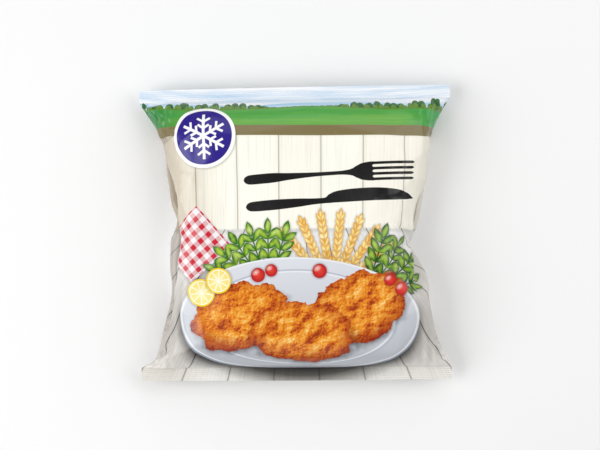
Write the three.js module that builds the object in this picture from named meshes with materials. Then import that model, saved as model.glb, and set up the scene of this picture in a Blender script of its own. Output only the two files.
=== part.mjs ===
// A sealed pillow pack of frozen breaded cutlets, lying on its back with its printed front up.
// It is a tube of plastic film with a crimped seal across each end, filled with stacked cutlets and a
// little air, and pressed flat. The film barely stretches, so its shape is found by relaxing a net of
// film cells between the floor, the press and the outline. Millimetres; +X is the front's right,
// +Y its upper seal and +Z up from the surface that it lies on.
import * as THREE from "three";

// The film, laid flat.
const TUBE_WIDTH = 290; // width of the flat tube, and the length of each end seal
const BODY_LENGTH = 274; // film between the two end seals
const SEAL_DEPTH = 12.5; // height of each crimped end seal
const FILM_GAP = 0.8; // least distance between the front film and the back film

// The filled pack.
const CROWN_HEIGHT = 65; // height of the front at its highest, over the floor
const CROWN_REACH = 125; // distance from the middle at which the front is lower by CROWN_FALL
const CROWN_FALL = 9;
const SHOULDER_RADIUS = 26; // rounding of the front's long sides
const CUTLET_RELIEF = 2.2; // how far the stacked cutlets show through the film
const CUTLET_PITCH_X = 31; // the relief's waves run in x, in y and along the diagonal
const CUTLET_PITCH_Y = 37;
const CUTLET_PITCH_DIAGONAL = 23;
const REST_HALF_WIDTH = 88; // half sizes of the patch that the cutlets press flat on the floor
const REST_HALF_LENGTH = 78;
const REST_LIFT = 90; // how far the back film may rise at twice that distance from the middle
const SEAL_HEIGHT = 27; // height of the seals' middle over the floor
const SEAL_SAG = 7; // how far the seals' ends droop below their middle
const SEAL_TILT = 0.32; // fall of a seal per millimetre outwards

// The outline seen from above, from the lower seal to the upper one: [y, x] where its course changes.
const LEFT_OUTLINE = [
  [-126, -143.5],
  [-119, -131.2],
  [-92, -123.5],
  [-65, -116.2],
  [-53, -114.0],
  [-34, -116.2],
  [-8, -115.0],
  [11, -110.2],
  [27, -115.2],
  [54, -118.8],
  [86, -124.4],
  [120, -145.6],
];
const RIGHT_OUTLINE = [
  [-124, 145.6],
  [-111, 138.0],
  [-92, 130.6],
  [-62, 124.6],
  [-40, 122.2],
  [-20, 111.2],
  [-10, 105.3],
  [6, 113.0],
  [33, 118.7],
  [77, 124.3],
  [99, 129.0],
  [126, 143.8],
];

// The net of film cells, and how it is relaxed.
const COLUMNS = 96; // cells round the tube: the first half are the front, from left to right
const ROWS = 46; // cells from seal to seal
const SEAL_ROWS = 3; // cells across each seal
const STEPS = 260;
const SWEEPS = 8;
const PRESSURE_STEP = 0.35; // outward push in each step
const BEND_STIFFNESS = 0.12;
const FOLD_PULL = 0.3; // how firmly the tube's two side folds keep to the outline

const half = COLUMNS / 2;

/** The value at y of a smooth curve through a list of [y, value] pairs. */
function along(pairs, y) {
  const last = pairs.length - 1;
  if (y <= pairs[0][0]) return pairs[0][1];
  if (y >= pairs[last][0]) return pairs[last][1];
  const i = pairs.findIndex((p) => p[0] > y) - 1;
  const [y0, v0] = pairs[i];
  const [y1, v1] = pairs[i + 1];
  const before = pairs[Math.max(i - 1, 0)];
  const after = pairs[Math.min(i + 2, last)];
  const m0 = (v1 - before[1]) / (y1 - before[0]);
  const m1 = (after[1] - v0) / (after[0] - y0);
  const h = y1 - y0;
  const t = (y - y0) / h;
  const a = t * t * (3 - 2 * t);
  return v0 + (v1 - v0) * a + h * t * (1 - t) * (m0 * (1 - t) - m1 * t);
}

const leftEdge = (y) => along(LEFT_OUTLINE, y);
const rightEdge = (y) => along(RIGHT_OUTLINE, y);

/** The inner line of a seal at a share s of its length from the left: end is 0 for the lower seal. */
function sealPoint(end, s) {
  const left = end ? LEFT_OUTLINE.at(-1) : LEFT_OUTLINE[0];
  const right = end ? RIGHT_OUTLINE.at(-1) : RIGHT_OUTLINE[0];
  const across = 2 * s - 1;
  return [
    left[1] + (right[1] - left[1]) * s,
    left[0] + (right[0] - left[0]) * s,
    SEAL_HEIGHT - SEAL_SAG * across * across,
  ];
}

/** How high the press lets the front film come over a point of the floor. */
function pressHeight(x, y) {
  const out = (x * x + y * y) / CROWN_REACH ** 2;
  const lumps =
    Math.sin(x / CUTLET_PITCH_X + 0.7) * Math.cos(y / CUTLET_PITCH_Y - 0.4) +
    0.5 * Math.sin((x + y) / CUTLET_PITCH_DIAGONAL);
  const inside = Math.min(x - leftEdge(y), rightEdge(y) - x, SHOULDER_RADIUS);
  const lean = SHOULDER_RADIUS - Math.max(inside, 0);
  const shoulder = SHOULDER_RADIUS - Math.sqrt(SHOULDER_RADIUS ** 2 - lean ** 2);
  return CROWN_HEIGHT - CROWN_FALL * out + CUTLET_RELIEF * (lumps - 1) - shoulder;
}

/** How far the back film can lift off the floor there: not at all under the cutlets. */
function restLift(x, y) {
  const out = Math.max(Math.abs(x) / REST_HALF_WIDTH, Math.abs(y) / REST_HALF_LENGTH);
  return REST_LIFT * Math.max(out - 1, 0);
}

/** A net of film cells round the tube, k columns by j rows, that is relaxed to its filled shape. */
class Film {
  constructor() {
    this.p = new Float64Array(3 * COLUMNS * (ROWS + 1));
    this.across = TUBE_WIDTH / half;
    this.up = BODY_LENGTH / ROWS;
    for (let k = 0; k < COLUMNS; k++)
      for (let j = 0; j <= ROWS; j++) this.start(k, j);
  }

  at(k, j) {
    return 3 * (((k + COLUMNS) % COLUMNS) * (ROWS + 1) + j);
  }

  /** 1 for a row that can move and 0 for the two rows that the seals hold. */
  freedom(j) {
    return j > 0 && j < ROWS ? 1 : 0;
  }

  /** Puts a node on a plain pillow between the two seals. */
  start(k, j) {
    const front = k <= half;
    const s = front ? k / half : (COLUMNS - k) / half;
    const t = j / ROWS;
    const low = sealPoint(0, s);
    const high = sealPoint(1, s);
    const y = low[1] + (high[1] - low[1]) * t;
    const free = j > 0 && j < ROWS;
    const x = free
      ? leftEdge(y) + (rightEdge(y) - leftEdge(y)) * s
      : low[0] + (high[0] - low[0]) * t;
    const line = low[2] + (high[2] - low[2]) * t;
    const puff = Math.sin(Math.PI * t) ** 0.5 * (1 - (2 * s - 1) ** 4) ** 0.5;
    const z = line + ((front ? CROWN_HEIGHT : 0) - line) * puff;
    this.p.set([x, y, z], this.at(k, j));
  }

  /** Pushes each node outwards along the film's normal. */
  inflate(push) {
    const { p } = this;
    const moves = new Float64Array(p.length);
    for (let k = 0; k < COLUMNS; k++)
      for (let j = 1; j < ROWS; j++) {
        const [a, b] = [this.at(k - 1, j), this.at(k + 1, j)];
        const [c, d] = [this.at(k, j - 1), this.at(k, j + 1)];
        const u = [0, 1, 2].map((i) => p[b + i] - p[a + i]);
        const v = [0, 1, 2].map((i) => p[d + i] - p[c + i]);
        const n = [
          u[1] * v[2] - u[2] * v[1],
          u[2] * v[0] - u[0] * v[2],
          u[0] * v[1] - u[1] * v[0],
        ];
        const size = Math.hypot(...n) || 1;
        for (let i = 0; i < 3; i++)
          moves[this.at(k, j) + i] = (push * n[i]) / size;
      }
    for (let i = 0; i < p.length; i++) p[i] += moves[i];
  }

  /** Moves two nodes towards the distance rest between them; with shortOnly it only spreads them. */
  hold(a, b, wa, wb, rest, stiffness, shortOnly) {
    const { p } = this;
    const dx = p[b] - p[a];
    const dy = p[b + 1] - p[a + 1];
    const dz = p[b + 2] - p[a + 2];
    const length = Math.sqrt(dx * dx + dy * dy + dz * dz) + 1e-9;
    if (shortOnly && length > rest) return;
    const f = (stiffness * (length - rest)) / length / (wa + wb);
    p[a] += wa * f * dx;
    p[a + 1] += wa * f * dy;
    p[a + 2] += wa * f * dz;
    p[b] -= wb * f * dx;
    p[b + 1] -= wb * f * dy;
    p[b + 2] -= wb * f * dz;
  }

  /** One family of links, from each node to the one dk columns and dj rows on, in two turns. */
  links(dk, dj, rest, stiffness, shortOnly = false) {
    const span = dk ? dk : dj;
    for (let turn = 0; turn < 2; turn++)
      for (let k = 0; k < COLUMNS; k++)
        for (let j = Math.max(0, -dj); j + dj <= ROWS && j <= ROWS; j++) {
          const order = dk ? k : j;
          if (Math.floor(order / span) % 2 !== turn) continue;
          const [a, b] = [this.at(k, j), this.at(k + dk, j + dj)];
          const [wa, wb] = [this.freedom(j), this.freedom(j + dj)];
          if (wa + wb) this.hold(a, b, wa, wb, rest, stiffness, shortOnly);
        }
  }

  /** Keeps the nodes above the floor, under the press, inside the outline and the two films apart. */
  confine() {
    const { p } = this;
    for (let j = 1; j < ROWS; j++) {
      for (let k = 0; k < COLUMNS; k++) {
        const a = this.at(k, j);
        const [left, right] = [leftEdge(p[a + 1]), rightEdge(p[a + 1])];
        p[a] = Math.min(Math.max(p[a], left), right);
        if (k % half === 0) p[a] += FOLD_PULL * ((k ? right : left) - p[a]);
        const roof = k <= half ? pressHeight(p[a], p[a + 1]) : restLift(p[a], p[a + 1]);
        p[a + 2] = Math.min(Math.max(p[a + 2], 0), roof);
      }
      for (let k = 1; k < half; k++) {
        const [f, b] = [this.at(k, j), this.at(COLUMNS - k, j)];
        const lack = FILM_GAP - (p[f + 2] - p[b + 2]);
        if (lack > 0) {
          p[f + 2] += lack / 2;
          p[b + 2] -= lack / 2;
        }
      }
    }
  }

  /** Fills the film: blows it up in small steps, with the push fading out over the last half. */
  relax() {
    const diagonal = Math.hypot(this.across, this.up);
    for (let step = 0; step < STEPS; step++) {
      const fade = Math.min(1, 2 * (1 - step / STEPS));
      this.inflate(PRESSURE_STEP * fade);
      for (let sweep = 0; sweep < SWEEPS; sweep++) {
        this.links(1, 0, this.across, 1);
        this.links(0, 1, this.up, 1);
        this.links(1, 1, diagonal, 0.5);
        this.links(1, -1, diagonal, 0.5);
        this.links(2, 0, 2 * this.across, BEND_STIFFNESS, true);
        this.links(0, 2, 2 * this.up, BEND_STIFFNESS, true);
        this.confine();
      }
    }
    return this;
  }
}

/** One ring of points round a seal, a distance out from its inner line. */
function sealRing(end, out) {
  return Array.from({ length: COLUMNS }, (_, k) => {
    const front = k <= half;
    const s = front ? k / half : (COLUMNS - k) / half;
    const [x, y, z] = sealPoint(end, s);
    const side = k % half === 0 ? 0 : (front ? 1 : -1) * (FILM_GAP / 2);
    return [x, y + (end ? out : -out), z - SEAL_TILT * out + side];
  });
}

/** One closed mesh of the relaxed film with its two seals: a tube of rings that is shut at each end. */
function packGeometry(film) {
  const rings = [];
  for (let r = SEAL_ROWS; r >= 0; r--) rings.push(sealRing(0, (SEAL_DEPTH * r) / SEAL_ROWS));
  for (let j = 1; j < ROWS; j++)
    rings.push(
      Array.from({ length: COLUMNS }, (_, k) => [
        ...film.p.subarray(film.at(k, j), film.at(k, j) + 3),
      ]),
    );
  for (let r = 0; r <= SEAL_ROWS; r++) rings.push(sealRing(1, (SEAL_DEPTH * r) / SEAL_ROWS));

  const index = [];
  const id = (r, k) => r * COLUMNS + ((k + COLUMNS) % COLUMNS);
  for (let r = 0; r + 1 < rings.length; r++)
    for (let k = 0; k < COLUMNS; k++) {
      const [a, b] = [id(r, k), id(r, k + 1)];
      const [c, d] = [id(r + 1, k + 1), id(r + 1, k)];
      index.push(a, b, c, a, c, d);
    }
  const shut = (r, flip) => {
    for (let k = 0; k < half; k++) {
      const [a, b] = [id(r, k), id(r, k + 1)];
      const [c, d] = [id(r, -k - 1), id(r, -k)];
      const faces = [];
      if (b !== c) faces.push([a, c, b]);
      if (a !== d) faces.push([a, d, c]);
      for (const [m, n, o] of faces) index.push(...(flip ? [m, o, n] : [m, n, o]));
    }
  };
  shut(0, false);
  shut(rings.length - 1, true);
  return new THREE.BufferGeometry()
    .setAttribute("position", new THREE.Float32BufferAttribute(rings.flat(2), 3))
    .setIndex(index);
}

const printedFilm = new THREE.MeshStandardMaterial({
  color: 0xf0ede2,
  roughness: 0.35,
  metalness: 0,
});

const pack = new THREE.Group();
const bag = new THREE.Mesh(packGeometry(new Film().relax()), printedFilm);
bag.name = "pillow_pack";
pack.add(bag);

export default pack;
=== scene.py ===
"""Dresses a frozen food pillow bag: the printed film, its crimped end seals and the seam down its back.

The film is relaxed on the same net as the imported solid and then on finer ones, where it creases as thin
film does. Film coordinates are millimetres on the flat tube: u runs round it from the left fold over the
front, then over the back, and v runs from the lower seal to the upper one. The print is drawn in them.
"""

from __future__ import annotations

import logging
import math
from dataclasses import dataclass, field
from enum import Enum
from typing import Any, Union

import bpy
import numpy as np
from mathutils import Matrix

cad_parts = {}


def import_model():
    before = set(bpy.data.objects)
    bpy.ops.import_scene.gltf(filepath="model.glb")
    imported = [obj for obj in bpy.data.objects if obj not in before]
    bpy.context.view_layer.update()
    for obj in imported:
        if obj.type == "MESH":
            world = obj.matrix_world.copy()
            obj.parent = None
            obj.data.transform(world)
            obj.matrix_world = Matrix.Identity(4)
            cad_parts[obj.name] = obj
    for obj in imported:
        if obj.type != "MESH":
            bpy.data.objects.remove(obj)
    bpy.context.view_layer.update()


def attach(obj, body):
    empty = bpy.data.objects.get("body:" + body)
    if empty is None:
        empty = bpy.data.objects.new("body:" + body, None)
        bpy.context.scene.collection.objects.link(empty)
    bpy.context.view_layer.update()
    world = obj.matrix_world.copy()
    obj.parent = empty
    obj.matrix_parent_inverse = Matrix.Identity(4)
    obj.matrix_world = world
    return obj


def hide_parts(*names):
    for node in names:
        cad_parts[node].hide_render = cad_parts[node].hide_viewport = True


log = logging.getLogger("pillow_bag")

MM = 0.001
TAU = 2 * math.pi
UV_SPAN = 600.0  # millimetres of film along a whole UV unit
UV_MARGIN = (10.0, 20.0)  # where the film's u and v of 0 lie on the UV map, in millimetres
Pair = tuple[float, float]
Triple = tuple[float, float, float]


# ---------------------------------------------------------------- the shape of the film


@dataclass(frozen=True)
class SideLine:
    """One side of the outline seen from above: (y, x) where its course changes, in millimetres."""

    points: tuple[Pair, ...]

    def at(self, y: np.ndarray) -> np.ndarray:
        """The side's x at each y, on a smooth curve through the points.

        Args:
            y: places along the bag, in millimetres.

        Returns:
            The side's x at those places.
        """
        ys = np.array([p[0] for p in self.points])
        xs = np.array([p[1] for p in self.points])
        last = len(ys) - 1
        before = np.maximum(np.arange(last + 1) - 1, 0)
        after = np.minimum(np.arange(last + 1) + 1, last)
        slope = (xs[after] - xs[before]) / (ys[after] - ys[before])
        y = np.clip(y, ys[0], ys[-1])
        i = np.clip(np.searchsorted(ys, y, side="right") - 1, 0, last - 1)
        height = ys[i + 1] - ys[i]
        t = (y - ys[i]) / height
        ease = t * t * (3 - 2 * t)
        bend = slope[i] * (1 - t) - slope[i + 1] * t
        return xs[i] + (xs[i + 1] - xs[i]) * ease + height * t * (1 - t) * bend


@dataclass(frozen=True)
class BagShape:
    """The sizes that fix the filled bag, in millimetres, and the surfaces that hold its film."""

    tube_width: float = 290.0
    body_length: float = 274.0
    seal_depth: float = 12.5
    crown_height: float = 65.0
    crown_reach: float = 125.0
    crown_fall: float = 9.0
    shoulder_radius: float = 26.0
    cutlet_relief: float = 2.2
    cutlet_pitches: Triple = (31.0, 37.0, 23.0)
    cutlet_phases: Pair = (0.7, -0.4)
    cutlet_slant: float = 0.5
    rest_half_sizes: Pair = (88.0, 78.0)
    rest_lift: float = 90.0
    seal_height: float = 27.0
    seal_sag: float = 7.0
    seal_tilt: float = 0.32
    left: SideLine = SideLine(
        (
            (-126, -143.5), (-119, -131.2), (-92, -123.5), (-65, -116.2), (-53, -114.0), (-34, -116.2),
            (-8, -115.0), (11, -110.2), (27, -115.2), (54, -118.8), (86, -124.4), (120, -145.6),
        )
    )
    right: SideLine = SideLine(
        (
            (-124, 145.6), (-111, 138.0), (-92, 130.6), (-62, 124.6), (-40, 122.2), (-20, 111.2),
            (-10, 105.3), (6, 113.0), (33, 118.7), (77, 124.3), (99, 129.0), (126, 143.8),
        )
    )

    def seal_line(self, upper: bool, share: np.ndarray) -> np.ndarray:
        """Points on the inner line of a seal.

        Args:
            upper: True for the seal at +Y.
            share: shares of the seal's length from its left end.

        Returns:
            An array of points, one row for each share.
        """
        end = -1 if upper else 0
        (left_y, left_x), (right_y, right_x) = self.left.points[end], self.right.points[end]
        across = 2 * share - 1
        x = left_x + (right_x - left_x) * share
        y = left_y + (right_y - left_y) * share
        return np.stack([x, y, self.seal_height - self.seal_sag * across**2], axis=-1)

    def press(self, x: np.ndarray, y: np.ndarray) -> np.ndarray:
        """How high the front film can come over points of the floor.

        Args:
            x: places across the bag, in millimetres.
            y: places along it.

        Returns:
            The height at each place.
        """
        pitch_x, pitch_y, pitch_diagonal = self.cutlet_pitches
        phase_x, phase_y = self.cutlet_phases
        out = (x * x + y * y) / self.crown_reach**2
        lumps = np.sin(x / pitch_x + phase_x) * np.cos(y / pitch_y + phase_y)
        lumps = lumps + self.cutlet_slant * np.sin((x + y) / pitch_diagonal)
        radius = self.shoulder_radius
        inside = np.minimum(np.minimum(x - self.left.at(y), self.right.at(y) - x), radius)
        lean = radius - np.maximum(inside, 0)
        shoulder = radius - np.sqrt(radius**2 - lean**2)
        return self.crown_height - self.crown_fall * out + self.cutlet_relief * (lumps - 1) - shoulder

    def rest(self, x: np.ndarray, y: np.ndarray) -> np.ndarray:
        """How far the back film can lift off the floor: not at all under the cutlets.

        Args:
            x: places across the bag, in millimetres.
            y: places along it.

        Returns:
            The height at each place.
        """
        half_width, half_length = self.rest_half_sizes
        out = np.maximum(np.abs(x) / half_width, np.abs(y) / half_length)
        return self.rest_lift * np.maximum(out - 1, 0)


@dataclass(frozen=True)
class Relaxing:
    """How one net is relaxed: the number of steps and of sweeps in each, and what moves its nodes."""

    steps: int
    sweeps: int
    push: float
    bend: float
    gap: float
    fold_pull: float = 0.3


@dataclass(frozen=True)
class Links:
    """Pairs of nodes that are held at a distance: every pair can move at the same time."""

    first: np.ndarray
    second: np.ndarray
    first_share: np.ndarray
    second_share: np.ndarray
    rest: float
    stiffness: float
    short_only: bool


class FilmNet:
    """A net of film cells round the tube, with its nodes in an array of columns, rows and x, y, z."""

    def __init__(self, shape: BagShape, columns: int, rows: int) -> None:
        """Lays the net on a plain pillow.

        Args:
            shape: the bag's sizes.
            columns: cells round the tube, of which the first half are the front.
            rows: cells from seal to seal.
        """
        self.shape, self.columns, self.rows = shape, columns, rows
        column = np.arange(columns)[:, None]
        row = np.arange(rows + 1)[None, :]
        share = self.shares()[:, None] + 0.0 * row
        t = row / rows + 0.0 * column
        low, high = shape.seal_line(False, share), shape.seal_line(True, share)
        base = low + (high - low) * t[..., None]
        x, y, z = base[..., 0], base[..., 1], base[..., 2]
        free = (row > 0) & (row < rows)
        left, right = shape.left.at(y), shape.right.at(y)
        puff = np.sqrt(np.maximum(np.sin(math.pi * t), 0) * np.maximum(1 - (2 * share - 1) ** 4, 0))
        goal = np.where(column <= columns // 2, shape.crown_height, 0.0)
        x = np.where(free, left + (right - left) * share, x)
        self.nodes = np.stack([x, y, z + (goal - z) * puff], -1)

    def shares(self) -> np.ndarray:
        """Each column's share of the way from the left fold to the right one."""
        column, half = np.arange(self.columns), self.columns // 2
        return np.where(column <= half, column, self.columns - column) / half

    def refine(self) -> None:
        """Halves the cells, with the new nodes on smooth curves through the old ones."""
        old = self.nodes
        middle = (9 * (old + np.roll(old, -1, 0)) - np.roll(old, 1, 0) - np.roll(old, -2, 0)) / 16
        wide = np.empty((2 * self.columns, self.rows + 1, 3))
        wide[0::2], wide[1::2] = old, middle
        first, last = 2 * wide[:, :1] - wide[:, 1:2], 2 * wide[:, -1:] - wide[:, -2:-1]
        run = np.concatenate([first, wide, last], axis=1)
        middle = (9 * (run[:, 1:-2] + run[:, 2:-1]) - run[:, :-3] - run[:, 3:]) / 16
        self.nodes = np.empty((2 * self.columns, 2 * self.rows + 1, 3))
        self.nodes[:, 0::2], self.nodes[:, 1::2] = wide, middle
        self.columns, self.rows = 2 * self.columns, 2 * self.rows
        self.nodes[:, 0] = self.shape.seal_line(False, self.shares())
        self.nodes[:, -1] = self.shape.seal_line(True, self.shares())

    def _links(self, bend: float) -> list[Links]:
        """Every family of links in the net, each in two turns that share no node.

        Args:
            bend: how firmly links over two cells keep the film from folding.

        Returns:
            The links.
        """
        across, up = 2 * self.shape.tube_width / self.columns, self.shape.body_length / self.rows
        diagonal = math.hypot(across, up)
        families = (
            (1, 0, across, 1.0, False),
            (0, 1, up, 1.0, False),
            (1, 1, diagonal, 0.5, False),
            (1, -1, diagonal, 0.5, False),
            (2, 0, 2 * across, bend, True),
            (0, 2, 2 * up, bend, True),
        )
        column, row = np.meshgrid(np.arange(self.columns), np.arange(self.rows + 1), indexing="ij")
        number = column * (self.rows + 1) + row
        free = (row > 0) & (row < self.rows)
        made = []
        for right, on, rest, stiffness, short_only in families:
            order = column if right else row
            for turn in (0, 1):
                taken = (order // (right or on)) % 2 == turn
                taken &= (row + on >= 0) & (row + on <= self.rows)
                k, j = column[taken], row[taken]
                k2, j2 = (k + right) % self.columns, j + on
                one, two = free[k, j].astype(float), free[k2, j2].astype(float)
                held = one + two > 0
                total = (one + two)[held]
                first_share, second_share = (one[held] / total)[:, None], (two[held] / total)[:, None]
                first, second = number[k, j][held], number[k2, j2][held]
                made.append(Links(first, second, first_share, second_share, rest, stiffness, short_only))
        return made

    def inflate(self, push: float | np.ndarray) -> None:
        """Moves each free node outwards along the film's normal.

        Args:
            push: how far in millimetres, as one number or one for each free node.
        """
        round_it = np.roll(self.nodes, -1, 0) - np.roll(self.nodes, 1, 0)
        up_it = self.nodes[:, 2:] - self.nodes[:, :-2]
        normal = np.cross(round_it[:, 1:-1], up_it)
        normal /= np.maximum(np.linalg.norm(normal, axis=-1, keepdims=True), 1e-12)
        self.nodes[:, 1:-1] += push * normal

    def _hold(self, links: Links) -> None:
        """Moves each pair of nodes towards its distance; short_only links only spread them.

        Args:
            links: one turn of one family of links.
        """
        flat = self.nodes.reshape(-1, 3)
        way = flat[links.second] - flat[links.first]
        length = np.sqrt((way * way).sum(-1)) + 1e-9
        share = links.stiffness * (length - links.rest) / length
        if links.short_only:
            share = np.minimum(share, 0)
        way *= share[:, None]
        flat[links.first] += links.first_share * way
        flat[links.second] -= links.second_share * way

    def _confine(self, how: Relaxing) -> None:
        """Keeps the film over the floor, under the press, inside the outline and its two sides apart.

        Args:
            how: the gap between the two sides and the pull on the folds.
        """
        half = self.columns // 2
        inner = self.nodes[:, 1:-1]
        y = inner[..., 1]
        left, right = self.shape.left.at(y), self.shape.right.at(y)
        x = np.clip(inner[..., 0], left, right)
        x[0] += how.fold_pull * (left[0] - x[0])
        x[half] += how.fold_pull * (right[half] - x[half])
        front, back = slice(0, half + 1), slice(half + 1, None)
        roof = np.concatenate([self.shape.press(x[front], y[front]), self.shape.rest(x[back], y[back])])
        inner[..., 0] = x
        inner[..., 2] = np.minimum(np.maximum(inner[..., 2], 0), roof)
        lack = how.gap - (inner[1:half, :, 2] - inner[: half : -1, :, 2])
        inner[1:half, :, 2] += np.maximum(lack, 0) / 2
        inner[: half : -1, :, 2] -= np.maximum(lack, 0) / 2

    def relax(self, how: Relaxing) -> None:
        """Fills the film in small steps, with the push fading out over the last half of them.

        Args:
            how: the steps, the push and the stiffness.
        """
        families = self._links(how.bend)
        for step in range(how.steps):
            self.inflate(how.push * min(1.0, 2 * (1 - step / how.steps)))
            for _ in range(how.sweeps):
                for links in families:
                    self._hold(links)
                self._confine(how)


def smooth(share: np.ndarray) -> np.ndarray:
    """Eases from 0 to 1 as share does, and stays level beyond both."""
    t = np.clip(share, 0, 1)
    return t * t * (3 - 2 * t)


def ripple(along: np.ndarray, waves: tuple[Pair, ...]) -> np.ndarray:
    """A sum of sines between -1 and 1.

    Args:
        along: places in millimetres.
        waves: pairs of a wave length and a phase.

    Returns:
        The sum at each place.
    """
    return sum(np.sin(TAU * along / length + phase) for length, phase in waves) / len(waves)


@dataclass(frozen=True)
class Dent:
    """A six-sided bowl in the front film, or a low mound where its depth is negative.

    Its middle, reach and depth are in millimetres. Its turn and its creases are in degrees.
    """

    x: float
    y: float
    reach: float
    depth: float
    turn: float
    creases: Triple = (0.0, 68.0, 118.0)
    hollow: float = 1.25

    def at(self, x: np.ndarray, y: np.ndarray) -> np.ndarray:
        """How deep it is.

        Args:
            x: places across the bag.
            y: places along it.

        Returns:
            The depth at each place.
        """
        out = 0.0 * x
        for crease in np.radians(np.add(self.creases, self.turn)):
            across = (x - self.x) * math.cos(crease) + (y - self.y) * math.sin(crease)
            out = np.maximum(out, abs(across) / self.reach)
        return self.depth * np.maximum(1 - out**self.hollow, 0)


@dataclass(frozen=True)
class Buckles:
    """Flat facets between straight creases, where slack film buckles beside its folds.

    Each crease family is a spacing, a slant in degrees and a phase, and its creases sway once over
    sway_length spacings. Level is how much of a facet's depth lies outside the film as it was filled.
    """

    depth: float = 2.3
    fold_clear: float = 12.0
    fold_reach: float = 50.0
    fade: float = 36.0
    seal_clear: float = 8.0
    seal_fade: float = 26.0
    families: tuple[Triple, ...] = ((43.0, 31.0, 0.4), (34.0, -43.0, 1.9), (61.0, 8.0, 0.8))
    sway: float = 0.35
    sway_length: float = 3.1
    level: float = 0.64
    dents: tuple[Dent, ...] = (
        Dent(117.0, 24.0, 25.0, 5.0, 12.0),
        Dent(-106.0, 34.0, 18.0, 2.4, 40.0),
        Dent(-108.0, -54.0, 12.0, -2.0, 80.0),
        Dent(-111.0, -92.0, 20.0, 2.6, 10.0),
        Dent(117.0, -92.0, 20.0, 2.4, 60.0),
        Dent(98.0, 84.0, 16.0, 1.4, 30.0),
        Dent(89.0, 13.0, 23.0, 2.8, 35.0),
        Dent(-84.0, -12.0, 20.0, 1.4, 55.0),
        Dent(101.0, 48.0, 19.0, 1.9, 20.0),
        Dent(-96.0, -62.0, 13.0, 1.6, 20.0),
        Dent(-122.0, 62.0, 24.0, 2.2, 15.0),
    )
    dent_clear: float = 9.0

    def press_in(self, net: FilmNet) -> None:
        """Moves the film's free nodes to the facets and into the dents.

        Args:
            net: the filled film.
        """
        width, length = net.shape.tube_width, net.shape.body_length
        u = np.arange(net.columns)[:, None] * 2 * width / net.columns
        v = np.arange(1, net.rows)[None, :] * length / net.rows
        from_fold = width / 2 - np.abs(u % width - width / 2)
        from_seal = np.minimum(v, length - v)
        beyond = smooth((from_fold - self.fold_reach) / self.fade)
        window = smooth(from_fold / self.fold_clear) * (1 - beyond)
        window = window * smooth((from_seal - self.seal_clear) / self.seal_fade)
        depth = 0.0 * window
        for number, (spacing, slant, phase) in enumerate(self.families):
            along = u * math.cos(math.radians(slant)) + v * math.sin(math.radians(slant))
            bend = self.sway * np.sin(TAU * v / (self.sway_length * spacing) + phase + number)
            depth += (self.level - np.abs(np.sin(math.pi * along / spacing + phase + bend))) * self.depth
        depth *= window / math.sqrt(len(self.families))
        x, y = net.nodes[:, 1:-1, 0], net.nodes[:, 1:-1, 1]
        front = smooth(from_fold / self.dent_clear) * (u <= width)
        for dent in self.dents:
            depth -= dent.at(x, y) * front
        net.inflate(depth[..., None])


# ---------------------------------------------------------------- node trees


class Wire:
    """A number that a node puts out. Ordinary arithmetic on it adds Math nodes to its tree."""

    def __init__(self, graph: Graph, socket: bpy.types.NodeSocket) -> None:
        """Wraps an output socket of the graph's tree."""
        self.graph, self.socket = graph, socket

    def __add__(self, other: Number) -> Wire:
        """This plus other."""
        return self.graph.maths("ADD", self, other)

    def __sub__(self, other: Number) -> Wire:
        """This less other."""
        return self.graph.maths("SUBTRACT", self, other)

    def __rsub__(self, other: Number) -> Wire:
        """Other less this."""
        return self.graph.maths("SUBTRACT", other, self)

    def __mul__(self, other: Number) -> Wire:
        """This times other."""
        return self.graph.maths("MULTIPLY", self, other)

    def __truediv__(self, other: Number) -> Wire:
        """This over other."""
        return self.graph.maths("DIVIDE", self, other)

    def __rtruediv__(self, other: Number) -> Wire:
        """Other over this."""
        return self.graph.maths("DIVIDE", other, self)

    def __pow__(self, other: Number) -> Wire:
        """This to the power of other."""
        return self.graph.maths("POWER", self, other)

    def __abs__(self) -> Wire:
        """This without its sign."""
        return self.graph.maths("ABSOLUTE", self)

    def most(self, other: Number) -> Wire:
        """The greater of this and other: where two shapes overlap, from the distances to their edges."""
        return self.graph.maths("MAXIMUM", self, other)

    def least(self, other: Number) -> Wire:
        """The smaller of this and other: two shapes as one, from the distances to their edges."""
        return self.graph.maths("MINIMUM", self, other)

    def ramp(self, slope: float, start: Number = 0.0) -> Wire:
        """This times slope plus start, kept between 0 and 1."""
        return self.graph.maths("MULTIPLY_ADD", self, slope, start, clamp=True)

    __radd__, __rmul__ = __add__, __mul__


Number = Union[Wire, float]


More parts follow.
